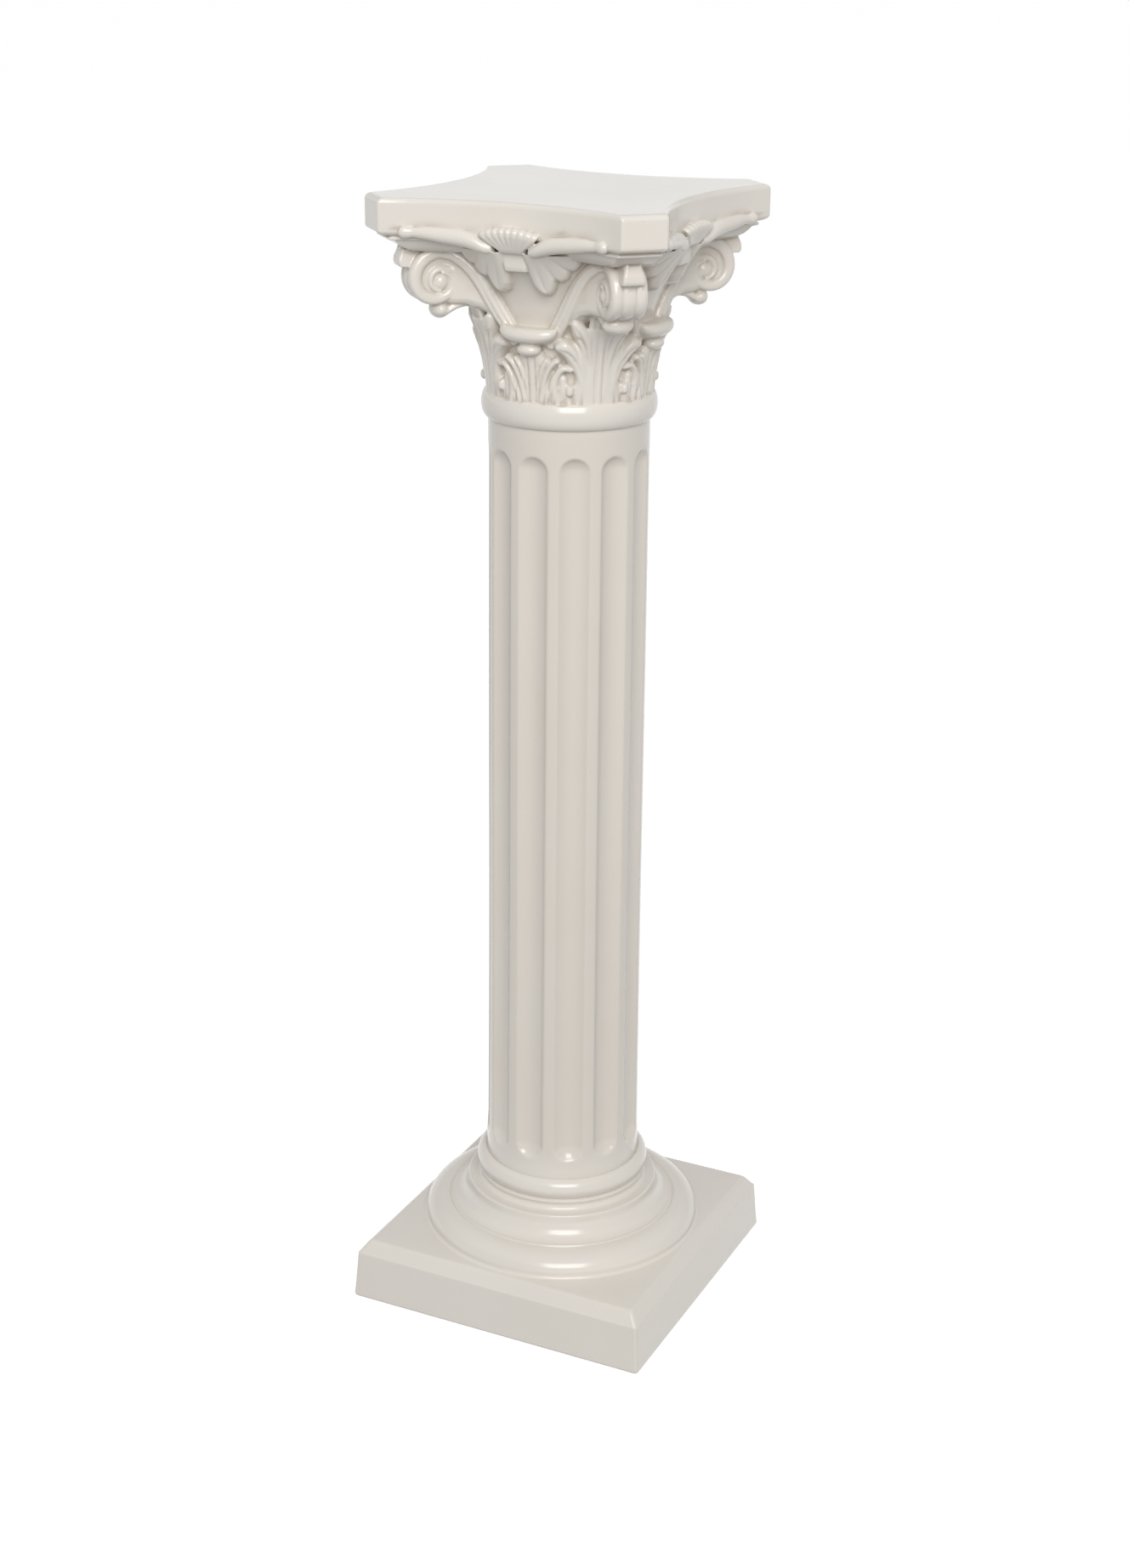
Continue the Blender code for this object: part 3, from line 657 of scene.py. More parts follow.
@dataclass
class BaseMouldings:
    """The turned base: a broad roll, a hollow slope, a fillet, a hollow and a second roll."""

    foot: float
    lower_radius: float = 0.1265
    lower_depth: float = 0.0215
    lower_height: float = 0.0200
    slope_step: float = 0.003
    slope_radius: float = 0.0872
    slope_height: float = 0.0165
    line_depth: float = 0.0011
    fillet_height: float = 0.0048
    fillet_inset: float = 0.0080
    hollow_depth: float = 0.0035
    hollow_height: float = 0.0090
    upper_radius: float = 0.0788
    upper_height: float = 0.0200
    shaft_radius: float = 0.0701
    flare: float = 0.0035
    sink: float = 0.004
    fillet_round: Pair = (0.0016, 0.0018)
    glaze_foot: tuple[Pair, ...] = ((0.0014, 0.0003), (0.0002, 0.0014))
    sides: int = 224

    @property
    def top(self) -> float:
        """Height at which the plain shaft leaves the upper roll."""
        heights = (self.lower_height, self.slope_height, self.fillet_height, self.hollow_height,
                   self.upper_height)
        return self.foot + sum(heights)

    def outline(self) -> list[tuple[float, float]]:
        """Draws the turned outline, with a small glaze fillet at its foot.

        Returns:
            Pairs of radius and height, from the plinth up.
        """
        middle = self.lower_radius - self.lower_depth
        half = self.lower_height * 0.75
        centre = self.foot + self.lower_height - half
        flared = self.lower_radius + self.flare
        rows = [(middle, self.foot - self.sink), (flared, self.foot - self.sink), (flared, self.foot - 0.0003)]
        rows += [(self.lower_radius + out, self.foot + up) for out, up in self.glaze_foot]
        rows += arc((middle, centre), (self.lower_depth, half), -8, 84, 14)
        slope_foot = self.foot + self.lower_height
        line = ((0.0006, 0.0), (-0.0004, -self.line_depth), (-0.0013, -self.line_depth * 0.9),
                (-0.0024, 0.0002))
        rows += [(middle + out, slope_foot + up) for out, up in line]
        start = middle - self.slope_step
        rows += arc((start, slope_foot + self.slope_height), (start - self.slope_radius, self.slope_height),
                    268, 184, 14)
        fillet_top = slope_foot + self.slope_height + self.fillet_height
        soft_out, soft_up = self.fillet_round
        rows += arc((self.slope_radius - soft_out, fillet_top - soft_up), self.fillet_round, 0, 90, 4)
        hollow_start = self.slope_radius - self.fillet_inset
        rows += [(hollow_start + 0.002, fillet_top - 0.0002)]
        half_hollow = self.hollow_height * 0.5
        rows += arc((hollow_start, fillet_top + half_hollow), (self.hollow_depth, half_hollow), 260, 130, 8)
        roll_foot = fillet_top + self.hollow_height
        depth = self.upper_radius - self.shaft_radius
        half_roll = self.upper_height / 2
        rows += arc((self.upper_radius - depth, roll_foot + half_roll), (depth, half_roll), -62, 80, 14)
        rows += [(self.shaft_radius - 0.001, self.top - 0.002)]
        return rows

    def body(self) -> Body:
        """The base as one closed shell."""
        return lathe(self.outline(), self.sides)


@dataclass
class FlutedShaft:
    """The shaft, a rule-shaped piece: flutes with rounded ends on a slightly narrowing drum."""

    foot: float
    head: float
    flutes: int = 12
    sides_per_flute: int = 32
    rows: int = 132
    foot_radius: float = 0.0701
    waist_radius: float = 0.0687
    waist_height: float = 0.45
    top_radius: float = 0.0678
    flute_width: float = 0.0262
    flute_depth: float = 0.0066
    foot_gap: float = 0.0175
    head_gap: float = 0.023
    softness: float = 0.045
    sink: float = 0.006
    fine_zone: float = 0.060
    edge_share: float = 0.375
    zone_share: float = 0.38
    scoop_power: float = 0.8

    def tree(self, material: bpy.types.Material) -> GeometryTree:
        """Builds the node tree that shapes the shaft.

        Args:
            material: The finish that the tree sets.

        Returns:
            The tree, ready to run on an object.
        """
        number = "NodeSocketFloat"
        made = GeometryTree("fluted_shaft", {
            "Flutes": ("NodeSocketInt", self.flutes),
            "Sides Per Flute": ("NodeSocketInt", self.sides_per_flute),
            "Rows": ("NodeSocketInt", self.rows),
            "Foot Height": (number, self.foot - self.sink),
            "Head Height": (number, self.head + self.sink),
            "Foot Radius": (number, self.foot_radius),
            "Waist Radius": (number, self.waist_radius),
            "Waist Height": (number, self.waist_height),
            "Top Radius": (number, self.top_radius),
            "Flute Width": (number, self.flute_width),
            "Flute Depth": (number, self.flute_depth),
            "Flute Foot": (number, self.foot + self.foot_gap),
            "Flute Head": (number, self.head - self.head_gap),
            "Edge Softness": (number, self.softness),
            "Material": ("NodeSocketMaterial", material),
        })
        shop = made.shop
        drum = shop.add("GeometryNodeMeshCylinder", {"fill_type": "TRIANGLE_FAN"}, {
            "Vertices": made.given("Flutes") * made.given("Sides Per Flute"),
            "Side Segments": made.given("Rows"),
            "Radius": 1.0,
            "Depth": 1.0,
        })
        x = shop.add("ShaderNodeSeparateXYZ", None, {0: shop.add("GeometryNodeInputPosition")})
        y, z = shop.other(x, 1), shop.other(x, 2)
        height = self.height_at(made, z + 0.5)
        radius = self.radius_at(made, height)
        pitch = self.pitch(made)
        turn = y.math("ARCTAN2", x) / pitch
        nearest = turn.math("ROUND")
        cell = turn - nearest
        size = cell.math("ABSOLUTE")
        half = made.given("Flute Width") / 2.0 / radius / pitch
        across = size / self.edge_share
        inside = across.held()
        outside = ((size - self.edge_share) / (0.5 - self.edge_share)).held()
        spread = inside * half + outside * (0.5 - half)
        angle = (nearest + cell.math("SIGN") * spread) * pitch
        scoop = self.scoop_at(made, across, height)
        reach = (x * x + y * y).math("SQRT") * (radius - scoop)
        position = shop.add("ShaderNodeCombineXYZ", None, {
            0: angle.math("COSINE") * reach,
            1: angle.math("SINE") * reach,
            2: height,
        })
        made.finish(shop.add("GeometryNodeSetPosition", None, {"Geometry": drum, "Position": position}))
        return made

    @staticmethod
    def pitch(made: GeometryTree) -> Wire:
        """The angle from one flute to the next, in radians."""
        return made.given("Flutes") ** -1.0 * math.tau

    def height_at(self, made: GeometryTree, share: Wire) -> Wire:
        """Spreads the rows along the shaft, close together where the flutes end.

        Args:
            made: The tree.
            share: The row's place, from 0 at the foot to 1 at the head.

        Returns:
            The row's height.
        """
        foot, head = made.given("Foot Height"), made.given("Head Height")
        zone = self.zone_share
        low = (share / zone).held() * self.fine_zone
        middle = ((share - zone) / (1 - 2 * zone)).held() * (head - foot - 2 * self.fine_zone)
        high = ((share - (1 - zone)) / zone).held() * self.fine_zone
        return foot + low + middle + high

    @staticmethod
    def radius_at(made: GeometryTree, height: Wire) -> Wire:
        """Narrows the drum a little to its waist and a little more above it.

        Args:
            made: The tree.
            height: The row's height.

        Returns:
            The drum's radius there.
        """
        foot, waist, head = (made.given(part + " Height") for part in ("Foot", "Waist", "Head"))
        wide, slim, top = (made.given(part + " Radius") for part in ("Foot", "Waist", "Top"))
        below = ((height - foot) / (waist - foot)).held()
        above = ((height - waist) / (head - waist)).held()
        return wide + (below * (math.pi / 2)).math("SINE") * (slim - wide) + above * above * (top - slim)

    def scoop_at(self, made: GeometryTree, across: Wire, height: Wire) -> Wire:
        """How deep the flute is cut, with soft edges and round ends.

        Args:
            made: The tree.
            across: Place across the flute, 0 in its middle and 1 at its edge.
            height: The row's height.

        Returns:
            The depth of the cut.
        """
        end = made.given("Flute Width") / 2.0
        low = (made.given("Flute Foot") + end - height) / end
        high = (height - made.given("Flute Head") + end) / end
        past = low.math("MAXIMUM", high).math("MAXIMUM", 0.0)
        open_share = 1.0 - across * across - past * past
        soft = made.given("Edge Softness")
        rounded = (open_share + (open_share * open_share + soft * soft).math("SQRT")) * 0.5
        return rounded ** self.scoop_power * made.given("Flute Depth")

    def build(self, material: bpy.types.Material) -> bpy.types.Object:
        """Makes the shaft.

        Args:
            material: Its finish.

        Returns:
            The finished object.
        """
        piece = bpy.data.objects.new("fluted_shaft", bpy.data.meshes.new("fluted_shaft"))
        bpy.context.scene.collection.objects.link(piece)
        self.tree(material).run(piece)
        return piece


@dataclass(frozen=True)
class Stroke:
    """One line of the leaf relief: a path on the bell, its half widths, and its heights or depths."""

    mark: Mark
    path: tuple[Pair, ...]
    widths: tuple[float, ...]
    lifts: tuple[float, ...]

    def shape(self, side: np.ndarray, height: np.ndarray) -> np.ndarray:
        """The stroke's own rise over the surface.

        Args:
            side: Arc lengths sideways from the leaf's middle.
            height: Heights above the capital's foot.

        Returns:
            The rise at each place, 0 outside the stroke.
        """
        shares = np.linspace(0, 1, STROKE_STEPS * (len(self.path) - 1) + 1)
        line = read_curve(self.path, shares)
        widths = read_values(self.widths, shares)
        lifts = read_values(self.lifts, shares)
        best = np.full(side.shape, np.inf)
        rise = np.zeros(side.shape)
        for (x, y), width, lift in zip(line, widths, lifts):
            away = np.hypot(side - x, height - y) / width
            closer = away < best
            best = np.where(closer, away, best)
            rise = np.where(closer, lift, rise)
        if self.mark is Mark.RIDGE:
            return rise * np.sqrt(np.clip(1 - best ** RIDGE_POWER, 0, 1))
        return rise * np.exp(-best ** 2)


@dataclass(frozen=True)
class Blade:
    """The plain body of a leaf, from rows of (height, half width, lift)."""

    rows: Rows

    def shape(self, side: np.ndarray, height: np.ndarray) -> np.ndarray:
        """Works out the body's rise over the bell.

        Args:
            side: Arc lengths sideways from the leaf's middle.
            height: Heights above the capital's foot.

        Returns:
            The rise at each place, 0 outside the body.
        """
        heights, halves, lifts = zip(*self.rows)
        half = np.interp(height, heights, halves)
        lift = np.where(height > heights[-1], 0.0, np.interp(height, heights, lifts))
        return lift * np.sqrt(np.clip(1 - (np.abs(side) / half) ** BLADE_POWER, 0, 1))


@dataclass(frozen=True)
class Flap:
    """A leaf that hangs down over the bell, from its lower outline, lifts and rounded rim."""

    outline: tuple[Pair, ...]
    low_lift: float
    high_lift: float
    rim: float

    def shape(self, side: np.ndarray, height: np.ndarray) -> np.ndarray:
        """Works out the leaf's rise over the bell.

        Args:
            side: Arc lengths sideways from the leaf's middle.
            height: Heights above the capital's foot.

        Returns:
            The rise at each place, 0 outside the leaf.
        """
        points = np.array(self.outline)
        away = np.full(side.shape, np.inf)
        for start, end in zip(points, points[1:]):
            run = end - start
            over, up = side - start[0], height - start[1]
            share = np.clip((over * run[0] + up * run[1]) / (run @ run), 0, 1)
            away = np.minimum(away, np.hypot(over - share * run[0], up - share * run[1]))
        lower = np.interp(side, points[:, 0], points[:, 1], left=np.inf, right=np.inf)
        lift = np.interp(height, (points[:, 1].min(), points[:, 1].max()), (self.low_lift, self.high_lift))
        round_rim = np.sqrt(1 - (1 - np.clip(away / self.rim, 0, 1)) ** 2)
        return np.where(height > lower, lift * round_rim, 0.0)


@dataclass
class LeafRelief:
    """The low carving on the bell: four tall corner leaves and four small face leaves."""

    wrap_radius: float = 74.5
    tall_body: Blade = Blade(((-6, 24.5, 3.6), (12, 23.5, 5.2), (28, 21.0, 6.6), (42, 18.5, 8.2),
                              (54, 16.0, 10.8), (62, 14.0, 12.4)))
    small_body: Blade = Blade(((-6, 12.0, 3.0), (15, 12.5, 4.6), (29, 13.5, 6.2), (42, 11.0, 8.5)))
    tall_marks: tuple[Stroke, ...] = (
        Stroke(Mark.RIDGE, ((30.5, -6), (31.0, 9), (31.5, 19)), (8.0, 7.5, 5.0), (3.6, 4.6, 5.0)),
        Stroke(Mark.RIDGE, ((35.5, -6), (38.2, 12), (36.2, 22.5), (31.0, 28.6), (24.5, 27.6)),
               (3.6, 3.7, 3.7, 3.5, 2.8), (4.5, 6.4, 7.6, 8.4, 7.4)),
        Stroke(Mark.RIDGE, ((13.0, 12), (16.5, 28), (22.5, 40.0), (28.6, 46.0), (33.6, 46.6)),
               (5.0, 7.2, 8.4, 7.6, 5.0), (5.4, 7.8, 10.8, 12.8, 12.0)),
        Stroke(Mark.RIDGE, ((8.5, 34), (12.5, 49), (17.5, 59.5), (21.5, 65.5)), (5.0, 7.0, 7.0, 4.6),
               (7.6, 11.0, 13.2, 12.2)),
        Stroke(Mark.RIDGE, ((25.2, 9.2), (25.0, 12.6)), (4.2, 4.0), (8.0, 8.0)),
        Stroke(Mark.SWELL, ((0, -6), (0, 30), (0, 58)), (2.1, 2.1, 2.1), (0.7, 0.9, 0.9)),
        Stroke(Mark.GROOVE, ((3.4, -2), (3.3, 20), (3.3, 40), (3.6, 57)), (0.95, 1.0, 1.0, 0.9),
               (1.0, 1.7, 1.7, 1.0)),
        Stroke(Mark.GROOVE, ((5.6, 30), (7.0, 43), (9.0, 57)), (0.8, 1.0, 1.0), (0.2, 1.2, 1.5)),
        Stroke(Mark.GROOVE, ((9.5, 26), (11.5, 38), (14.8, 49), (18.5, 54)), (0.8, 1.2, 1.4, 1.2),
               (0.3, 1.6, 2.4, 1.8)),
        Stroke(Mark.GROOVE, ((15.0, 20), (19.0, 32), (26.0, 41.4), (32.0, 44.4)), (0.8, 1.0, 1.1, 0.8),
               (0.2, 1.3, 1.6, 0.6)),
        Stroke(Mark.GROOVE, ((12.5, 44), (16.5, 54), (21.0, 62)), (0.8, 1.1, 0.8), (0.3, 1.5, 1.0)),
        Stroke(Mark.GROOVE, ((16.8, 34), (19.2, 44.0), (24.4, 51.2), (29.6, 56.0)), (0.9, 1.3, 1.6, 1.8),
               (0.6, 2.6, 4.2, 5.0)),
        Stroke(Mark.GROOVE, ((23.9, 17.0), (23.8, 20.0), (23.0, 24.0)), (2.5, 2.5, 1.5), (8.4, 9.4, 6.0)),
        Stroke(Mark.GROOVE, ((32.6, 3), (34.4, 12), (33.0, 20.5), (28.6, 25.2)), (0.8, 0.9, 0.8, 0.7),
               (0.5, 1.1, 1.1, 0.6)),
        Stroke(Mark.GROOVE, ((41.0, -4), (43.2, 12), (41.0, 24), (35.8, 32.5)), (1.0, 1.1, 1.1, 1.0),
               (1.2, 1.8, 1.8, 1.4)),
    )
    small_marks: tuple[Stroke, ...] = (
        Stroke(Mark.RIDGE, ((8.0, -6), (12.0, 10), (16.0, 23)), (7.0, 7.0, 5.5), (3.4, 4.4, 5.2)),
        Stroke(Mark.RIDGE, ((5.6, 12), (8.6, 25), (14.0, 35.0)), (2.6, 3.0, 3.0), (5.4, 7.6, 8.8)),
        Stroke(Mark.RIDGE, ((7.5, 2), (11.8, 19), (17.2, 30.0), (22.4, 34.4)), (2.8, 3.2, 3.6, 3.8),
               (5.0, 7.0, 8.8, 9.6)),
        Stroke(Mark.RIDGE, ((11.0, -6), (15.8, 10), (20.4, 21.5), (24.8, 26.0)), (3.0, 3.1, 2.9, 2.4),
               (4.6, 6.4, 7.6, 6.8)),
        Stroke(Mark.RIDGE, ((15.4, -6), (19.2, 5), (22.6, 12.0), (25.4, 12.4)), (2.6, 2.7, 2.4, 1.8),
               (3.9, 5.0, 5.8, 4.8)),
        Stroke(Mark.SWELL, ((0, -6), (0, 20), (0, 38)), (2.0, 2.0, 2.0), (0.5, 0.7, 0.7)),
        Stroke(Mark.GROOVE, ((3.3, -2), (3.2, 18), (3.2, 37)), (0.9, 0.9, 0.9), (0.8, 1.5, 1.3)),
        Stroke(Mark.GROOVE, ((6.6, 0), (6.6, 16), (7.2, 30)), (0.8, 0.9, 0.8), (0.6, 1.3, 0.9)),
    )
    hanging_leaf: Flap = Flap(
        ((6.0, 125), (6.6, 106), (8.2, 97.0), (11.0, 91.6), (15.2, 88.4), (19.4, 88.2), (22.6, 91.6),
         (24.6, 97.4), (25.0, 100.2), (28.2, 99.6), (31.6, 102.0), (33.6, 106.4), (34.0, 109.0),
         (37.2, 110.2), (39.6, 115.0), (41.0, 125)), 10.5, 8.0, 4.6)
    hanging_marks: tuple[Stroke, ...] = (
        Stroke(Mark.GROOVE, ((13.0, 118), (14.2, 106), (16.8, 94)), (0.9, 1.3, 1.2), (0.2, 0.8, 0.9)),
        Stroke(Mark.GROOVE, ((17.0, 119), (21.0, 109), (25.4, 99.6)), (0.8, 1.3, 1.2), (0.2, 0.9, 2.4)),
        Stroke(Mark.GROOVE, ((22.0, 121), (28.0, 114.0), (34.4, 108.6)), (0.8, 1.2, 1.2), (0.2, 0.9, 2.2)),
    )
    deepest_cut: float = 0.5
    side_step: float = 0.33
    row_step: float = 0.45
    foot: float = -6.0
    top: float = 124.0

    def field(self, arc_from_face: np.ndarray, height: np.ndarray) -> np.ndarray:
        """Rise of the whole relief over the bell, folded so that each eighth is alike.

        Args:
            arc_from_face: Arc lengths from the middle of a face, up to the corner's.
            height: Heights above the capital's foot.

        Returns:
            The rise in millimetres.
        """
        from_corner = self.wrap_radius * math.pi / 4 - arc_from_face
        rise = np.maximum(self.tall_body.shape(from_corner, height), self.small_body.shape(arc_from_face, height))
        rise = np.maximum(rise, self.hanging_leaf.shape(arc_from_face, height))
        pairs = [(mark, from_corner) for mark in self.tall_marks]
        pairs += [(mark, arc_from_face) for mark in self.small_marks + self.hanging_marks]
        for mark, side in pairs:
            if mark.mark is Mark.RIDGE:
                rise = np.maximum(rise, mark.shape(side, height))
        for mark, side in pairs:
            if mark.mark is Mark.SWELL:
                rise = rise + mark.shape(side, height)
            elif mark.mark is Mark.GROOVE:
                rise = rise - mark.shape(side, height)
        return np.maximum(rise, -self.deepest_cut)


@dataclass
class Capital:
    """The leafed capital with its neck roll and abacus, drawn in millimetres above its foot."""

    foot: float
    column_height: float
    neck_height: float = 23.0
    neck_root: float = 68.4
    neck_radius: float = 73.8
    bell_foot: float = 66.0
    carving_reach: tuple[Pair, ...] = (
        (0.0, 65.0), (54.0, 73.0), (66.0, 82.0), (90.0, 91.0), (121.0, 104.0), (124.0, 0.0))
    # Painted shade under the abacus: how deep into the carving it reaches and how dark it gets.
    sheltered_depth: float = 20.0
    shelter_shade_share: float = 0.2
    bell_flare: float = 34.0
    bell_height: float = 120.0
    abacus_width: float = 264.4
    abacus_face_height: float = 27.0
    corner_cut: float = 26.8
    hollow: float = 24.0
    edge_round: float = 4.6
    eye: tuple[float, float] = (113.8, 93.5)
    volute_face: float = 10.8
    volute_relief: float = 4.4
    outer_radii: tuple[float, ...] = (29.0, 26.8, 17.2, 12.4, 8.4)
    outer_halves: tuple[float, ...] = (5.3, 5.4, 4.4, 3.0, 1.2)
    inner_radii: tuple[float, ...] = (13.0, 11.4, 8.6)
    inner_halves: tuple[float, ...] = (2.7, 2.4, 1.4)
    inner_relief: float = 2.8
    strap_root: float = 4.6
    strap_power: float = 2.2
    rib_place: float = 0.36
    rib_width: float = 0.13
    eye_radius: float = 6.6
    stem_path: Rows = (
        (60.5, 40.5, 45.0, 4.6, 40.0), (66.9, 37.0, 58.8, 6.4, 44.0), (72.7, 34.3, 69.1, 6.7, 50.0),
        (78.1, 31.9, 79.5, 6.8, 56.0), (84.4, 29.0, 92.0, 6.6, 64.0), (89.9, 26.5, 101.2, 6.2, 72.0),
        (97.3, 22.8, 109.8, 5.8, 80.0), (105.8, 18.6, 115.8, 5.5, 87.0))
    inner_lead: Rows = (
        (87.0, 22.6, 82.0, 2.6), (94.0, 18.6, 92.0, 2.7), (102.0, 15.6, 100.6, 2.5), (108.0, 14.4, 103.8, 2.3))
    web_rows: Rows = (
        (56, 50, 62), (66, 58, 76), (74, 66, 88), (84, 72.6, 98), (94, 75.6, 113), (104, 75.4, 121),
        (113.8, 76.4, 122))
    web_spread: float = 0.43
    shell_rows: Rows = (
        (0.0, 0.0, -3.0), (0.06, 0.02, 0.0), (0.16, 0.10, 2.2), (0.3, 0.28, 4.0), (0.5, 0.58, 6.4),
        (0.7, 0.86, 8.4), (0.84, 0.98, 8.8), (0.94, 1.02, 7.6), (1.0, 1.0, 5.0))
    swag_rows: Rows = (
        (16.0, -9.4, 3.0, 3.6), (22.0, -7.8, 5.4, 6.0), (30.0, -4.6, 6.6, 7.2), (42.0, -1.8, 6.9, 7.2),
        (56.0, -0.6, 6.4, 6.6), (68.0, 0.6, 5.6, 5.8), (76.0, 1.0, 4.6, 4.8), (79.5, 1.1, 4.3, 4.5),
        (83.0, 1.2, 5.2, 5.4), (87.0, 1.2, 5.2, 5.2), (90.4, 1.2, 2.6, 2.6))
    voxel: float = 0.8
    smoothing: int = 3
    corner_round: float = 1.6
    neck_sides: int = 256
    cove_rows: tuple[Pair, ...] = (
        (90.0, -17.0), (34.0, -17.0), (23.0, -15.5), (17.0, -12.4), (13.4, -9.0), (11.6, -6.8),
        (10.9, -6.3), (8.0, -6.1), (7.3, -5.6), (7.2, -4.4), (7.6, -3.9), (8.4, -3.6), (8.8, -3.2),
        (8.4, -2.8), (4.6, -1.9), (1.8, -0.7), (0.5, 0.4), (0.0, 1.8))
    band_profile: tuple[Pair, ...] = (
        (0.0, 0.0), (2.6, 0.1), (4.2, 0.6), (5.0, 1.5), (5.6, 2.0), (6.2, 1.5), (7.2, 0.5), (9.2, 0.0),
        (10.6, 0.3), (11.2, 1.4), (11.3, 4.0))
    band_core: Place = (14.0, 12.0, 18.0)
    corner_block_rows: Rows = (
        (105.6, 9.0, 145.6), (106.2, 9.4, 147.2), (109.0, 9.4, 148.2), (113.0, 8.8, 148.0),
        (118.0, 7.4, 146.0), (124.0, 6.4, 144.5))
    corner_block_root: float = 126.0
    corner_block_bevel: float = 1.4
    face_block_rows: Rows = (
        (108.0, -4.0, 8.8, -15.0), (108.8, -2.0, 9.4, -14.0), (112.0, -0.8, 9.6, -12.0),
        (119.0, 0.0, 9.6, -8.0), (124.0, 1.0, 9.4, -5.5), (130.0, 1.0, 9.4, -4.0))
    face_block_inset: float = 5.0
    ground_root: float = 26.0
    ground_half: float = 20.0
    tongue_path: tuple[Pair, ...] = (
        (72.0, 30), (74.6, 44.7), (78.6, 55), (81.2, 63), (84.6, 69.8), (91.7, 72.6), (99.2, 71.4),
        (105.4, 68.4), (110.0, 65.5))
    tongue_halves: Pair = (12.4, 11.6)
    tongue_ribs: float = 2.5
    tongue_rib_lift: float = 0.55
    drop_place: Place = (112.6, 0.0, 70.4)
    drop_radii: Place = (8.0, 13.0, 7.6)
    tip_place: Place = (75.5, 0.0, 43.6)
    tip_radii: Place = (8.6, 10.4, 5.6)
    calyx_section: tuple[Pair, ...] = (
        (60, 44), (72, 46.6), (80, 48.8), (85.4, 50.6), (88.4, 54.2), (88.2, 58.4), (85.6, 61.2),
        (81.6, 61.6), (77.0, 60.6), (70, 60.6), (60, 60.6))
    calyx_half_angle: float = 18.5
    calyx_root: Pair = (60.0, 55.0)
    calyx_draw: Pair = (0.34, 0.8)
    calyx_lift: float = 6.0
    shell_drop: float = 12.5
    shell_crown: float = 21.5
    shell_neck: float = 8.8
    shell_half: float = 25.8
    shell_ribs: float = 4.5
    shell_groove: float = 1.7
    triangle_limit: int = 184000
    # Painted shade in the hollows of the skin: its gain, its smoothing passes and its limit.
    painted_shade_gain: float = 0.0016
    painted_shade_passes: int = 6
    painted_shade_limit: float = 0.62
    relief: LeafRelief = field(default_factory=LeafRelief)

    @property
    def top(self) -> float:
        """Height of the abacus top above the capital's foot."""
        return self.column_height / MM - self.foot / MM

    def stand(self, facing: Facing, outward: np.ndarray, side: np.ndarray, height: np.ndarray) -> np.ndarray:
        """Places points that are drawn in the frame of a face or corner.

        Args:
            facing: The face or corner.
            outward: Distances out from the axis.
            side: Distances sideways.
            height: Heights above the capital's foot.

        Returns:
            The points in metres.
        """
        turn = math.radians(facing.value)
        x = outward * math.cos(turn) - side * math.sin(turn)
        y = outward * math.sin(turn) + side * math.cos(turn)
        return np.stack(np.broadcast_arrays(x * MM, y * MM, self.foot + height * MM), -1)

    def level_ring(self, facing: Facing, outline: Points, height: float) -> np.ndarray:
        """Stands an outline of outward and sideways places at one height."""
        drawn = np.array(outline)
        return self.stand(facing, drawn[:, 0], drawn[:, 1], np.full(len(drawn), height))

    def bell_radius(self, height: np.ndarray) -> np.ndarray:
        """Radius of the bell behind the leaves."""
        return self.bell_foot + self.bell_flare * np.clip(height / self.bell_height, 0, 1.2) ** 3

    def bell(self) -> Body:
        """Builds the bell with its leaf relief.

        Returns:
            The closed shell.
        """
        relief = self.relief
        columns = 8 * int(round(relief.wrap_radius * math.pi / 4 / relief.side_step))
        angles = np.arange(columns) * math.tau / columns
        heights = np.arange(relief.foot, relief.top, relief.row_step)
        folded = np.abs((angles + math.pi / 4) % (math.pi / 2) - math.pi / 4) * relief.wrap_radius
        eighth = np.arange(columns // 8 + 1)
        side, height = np.meshgrid(folded[eighth], heights)
        rise = relief.field(side, height)
        pick = np.abs((np.arange(columns) + columns // 8) % (columns // 4) - columns // 8)
        radius = self.bell_radius(heights)[:, None] + rise[:, pick]
        rings = np.stack([radius * np.cos(angles) * MM, radius * np.sin(angles) * MM,
                          np.repeat(self.foot + heights[:, None] * MM, columns, 1)], -1)
        return loft(rings)

    def neck(self) -> Body:
        """Builds the plain roll under the leaves.

        Returns:
            The closed shell.
        """
        half = self.neck_height / 2
        outline = arc((self.neck_root, -half), (self.neck_radius - self.neck_root, half), -90, 88, 24)
        return lathe([(radius * MM, self.foot + height * MM) for radius, height in outline], self.neck_sides)

    def egg(self, facing: Facing, centre: Sequence[float], radii: Sequence[float], lean: float = 0.0) -> Body:
        """A rounded lump.

        Args:
            facing: The face or corner that it belongs to.
            centre: Its outward, sideways and upward place.
            radii: Its half sizes in the same order.
            lean: How far it leans sideways, in degrees.

        Returns:
            The closed shell.
        """
        rise = np.radians(np.linspace(-88, 88, 15))[:, None]
        turn = np.linspace(0, math.tau, 29)[:-1]
        out = radii[0] * np.cos(rise) * np.cos(turn)
        across = radii[1] * np.cos(rise) * np.sin(turn)
        up = radii[2] * np.sin(rise) * np.ones_like(turn)
        tilt = math.radians(lean)
        side = across * math.cos(tilt) + up * math.sin(tilt)
        height = up * math.cos(tilt) - across * math.sin(tilt)
        return loft(self.stand(facing, centre[0] + out, centre[1] + side, centre[2] + height))

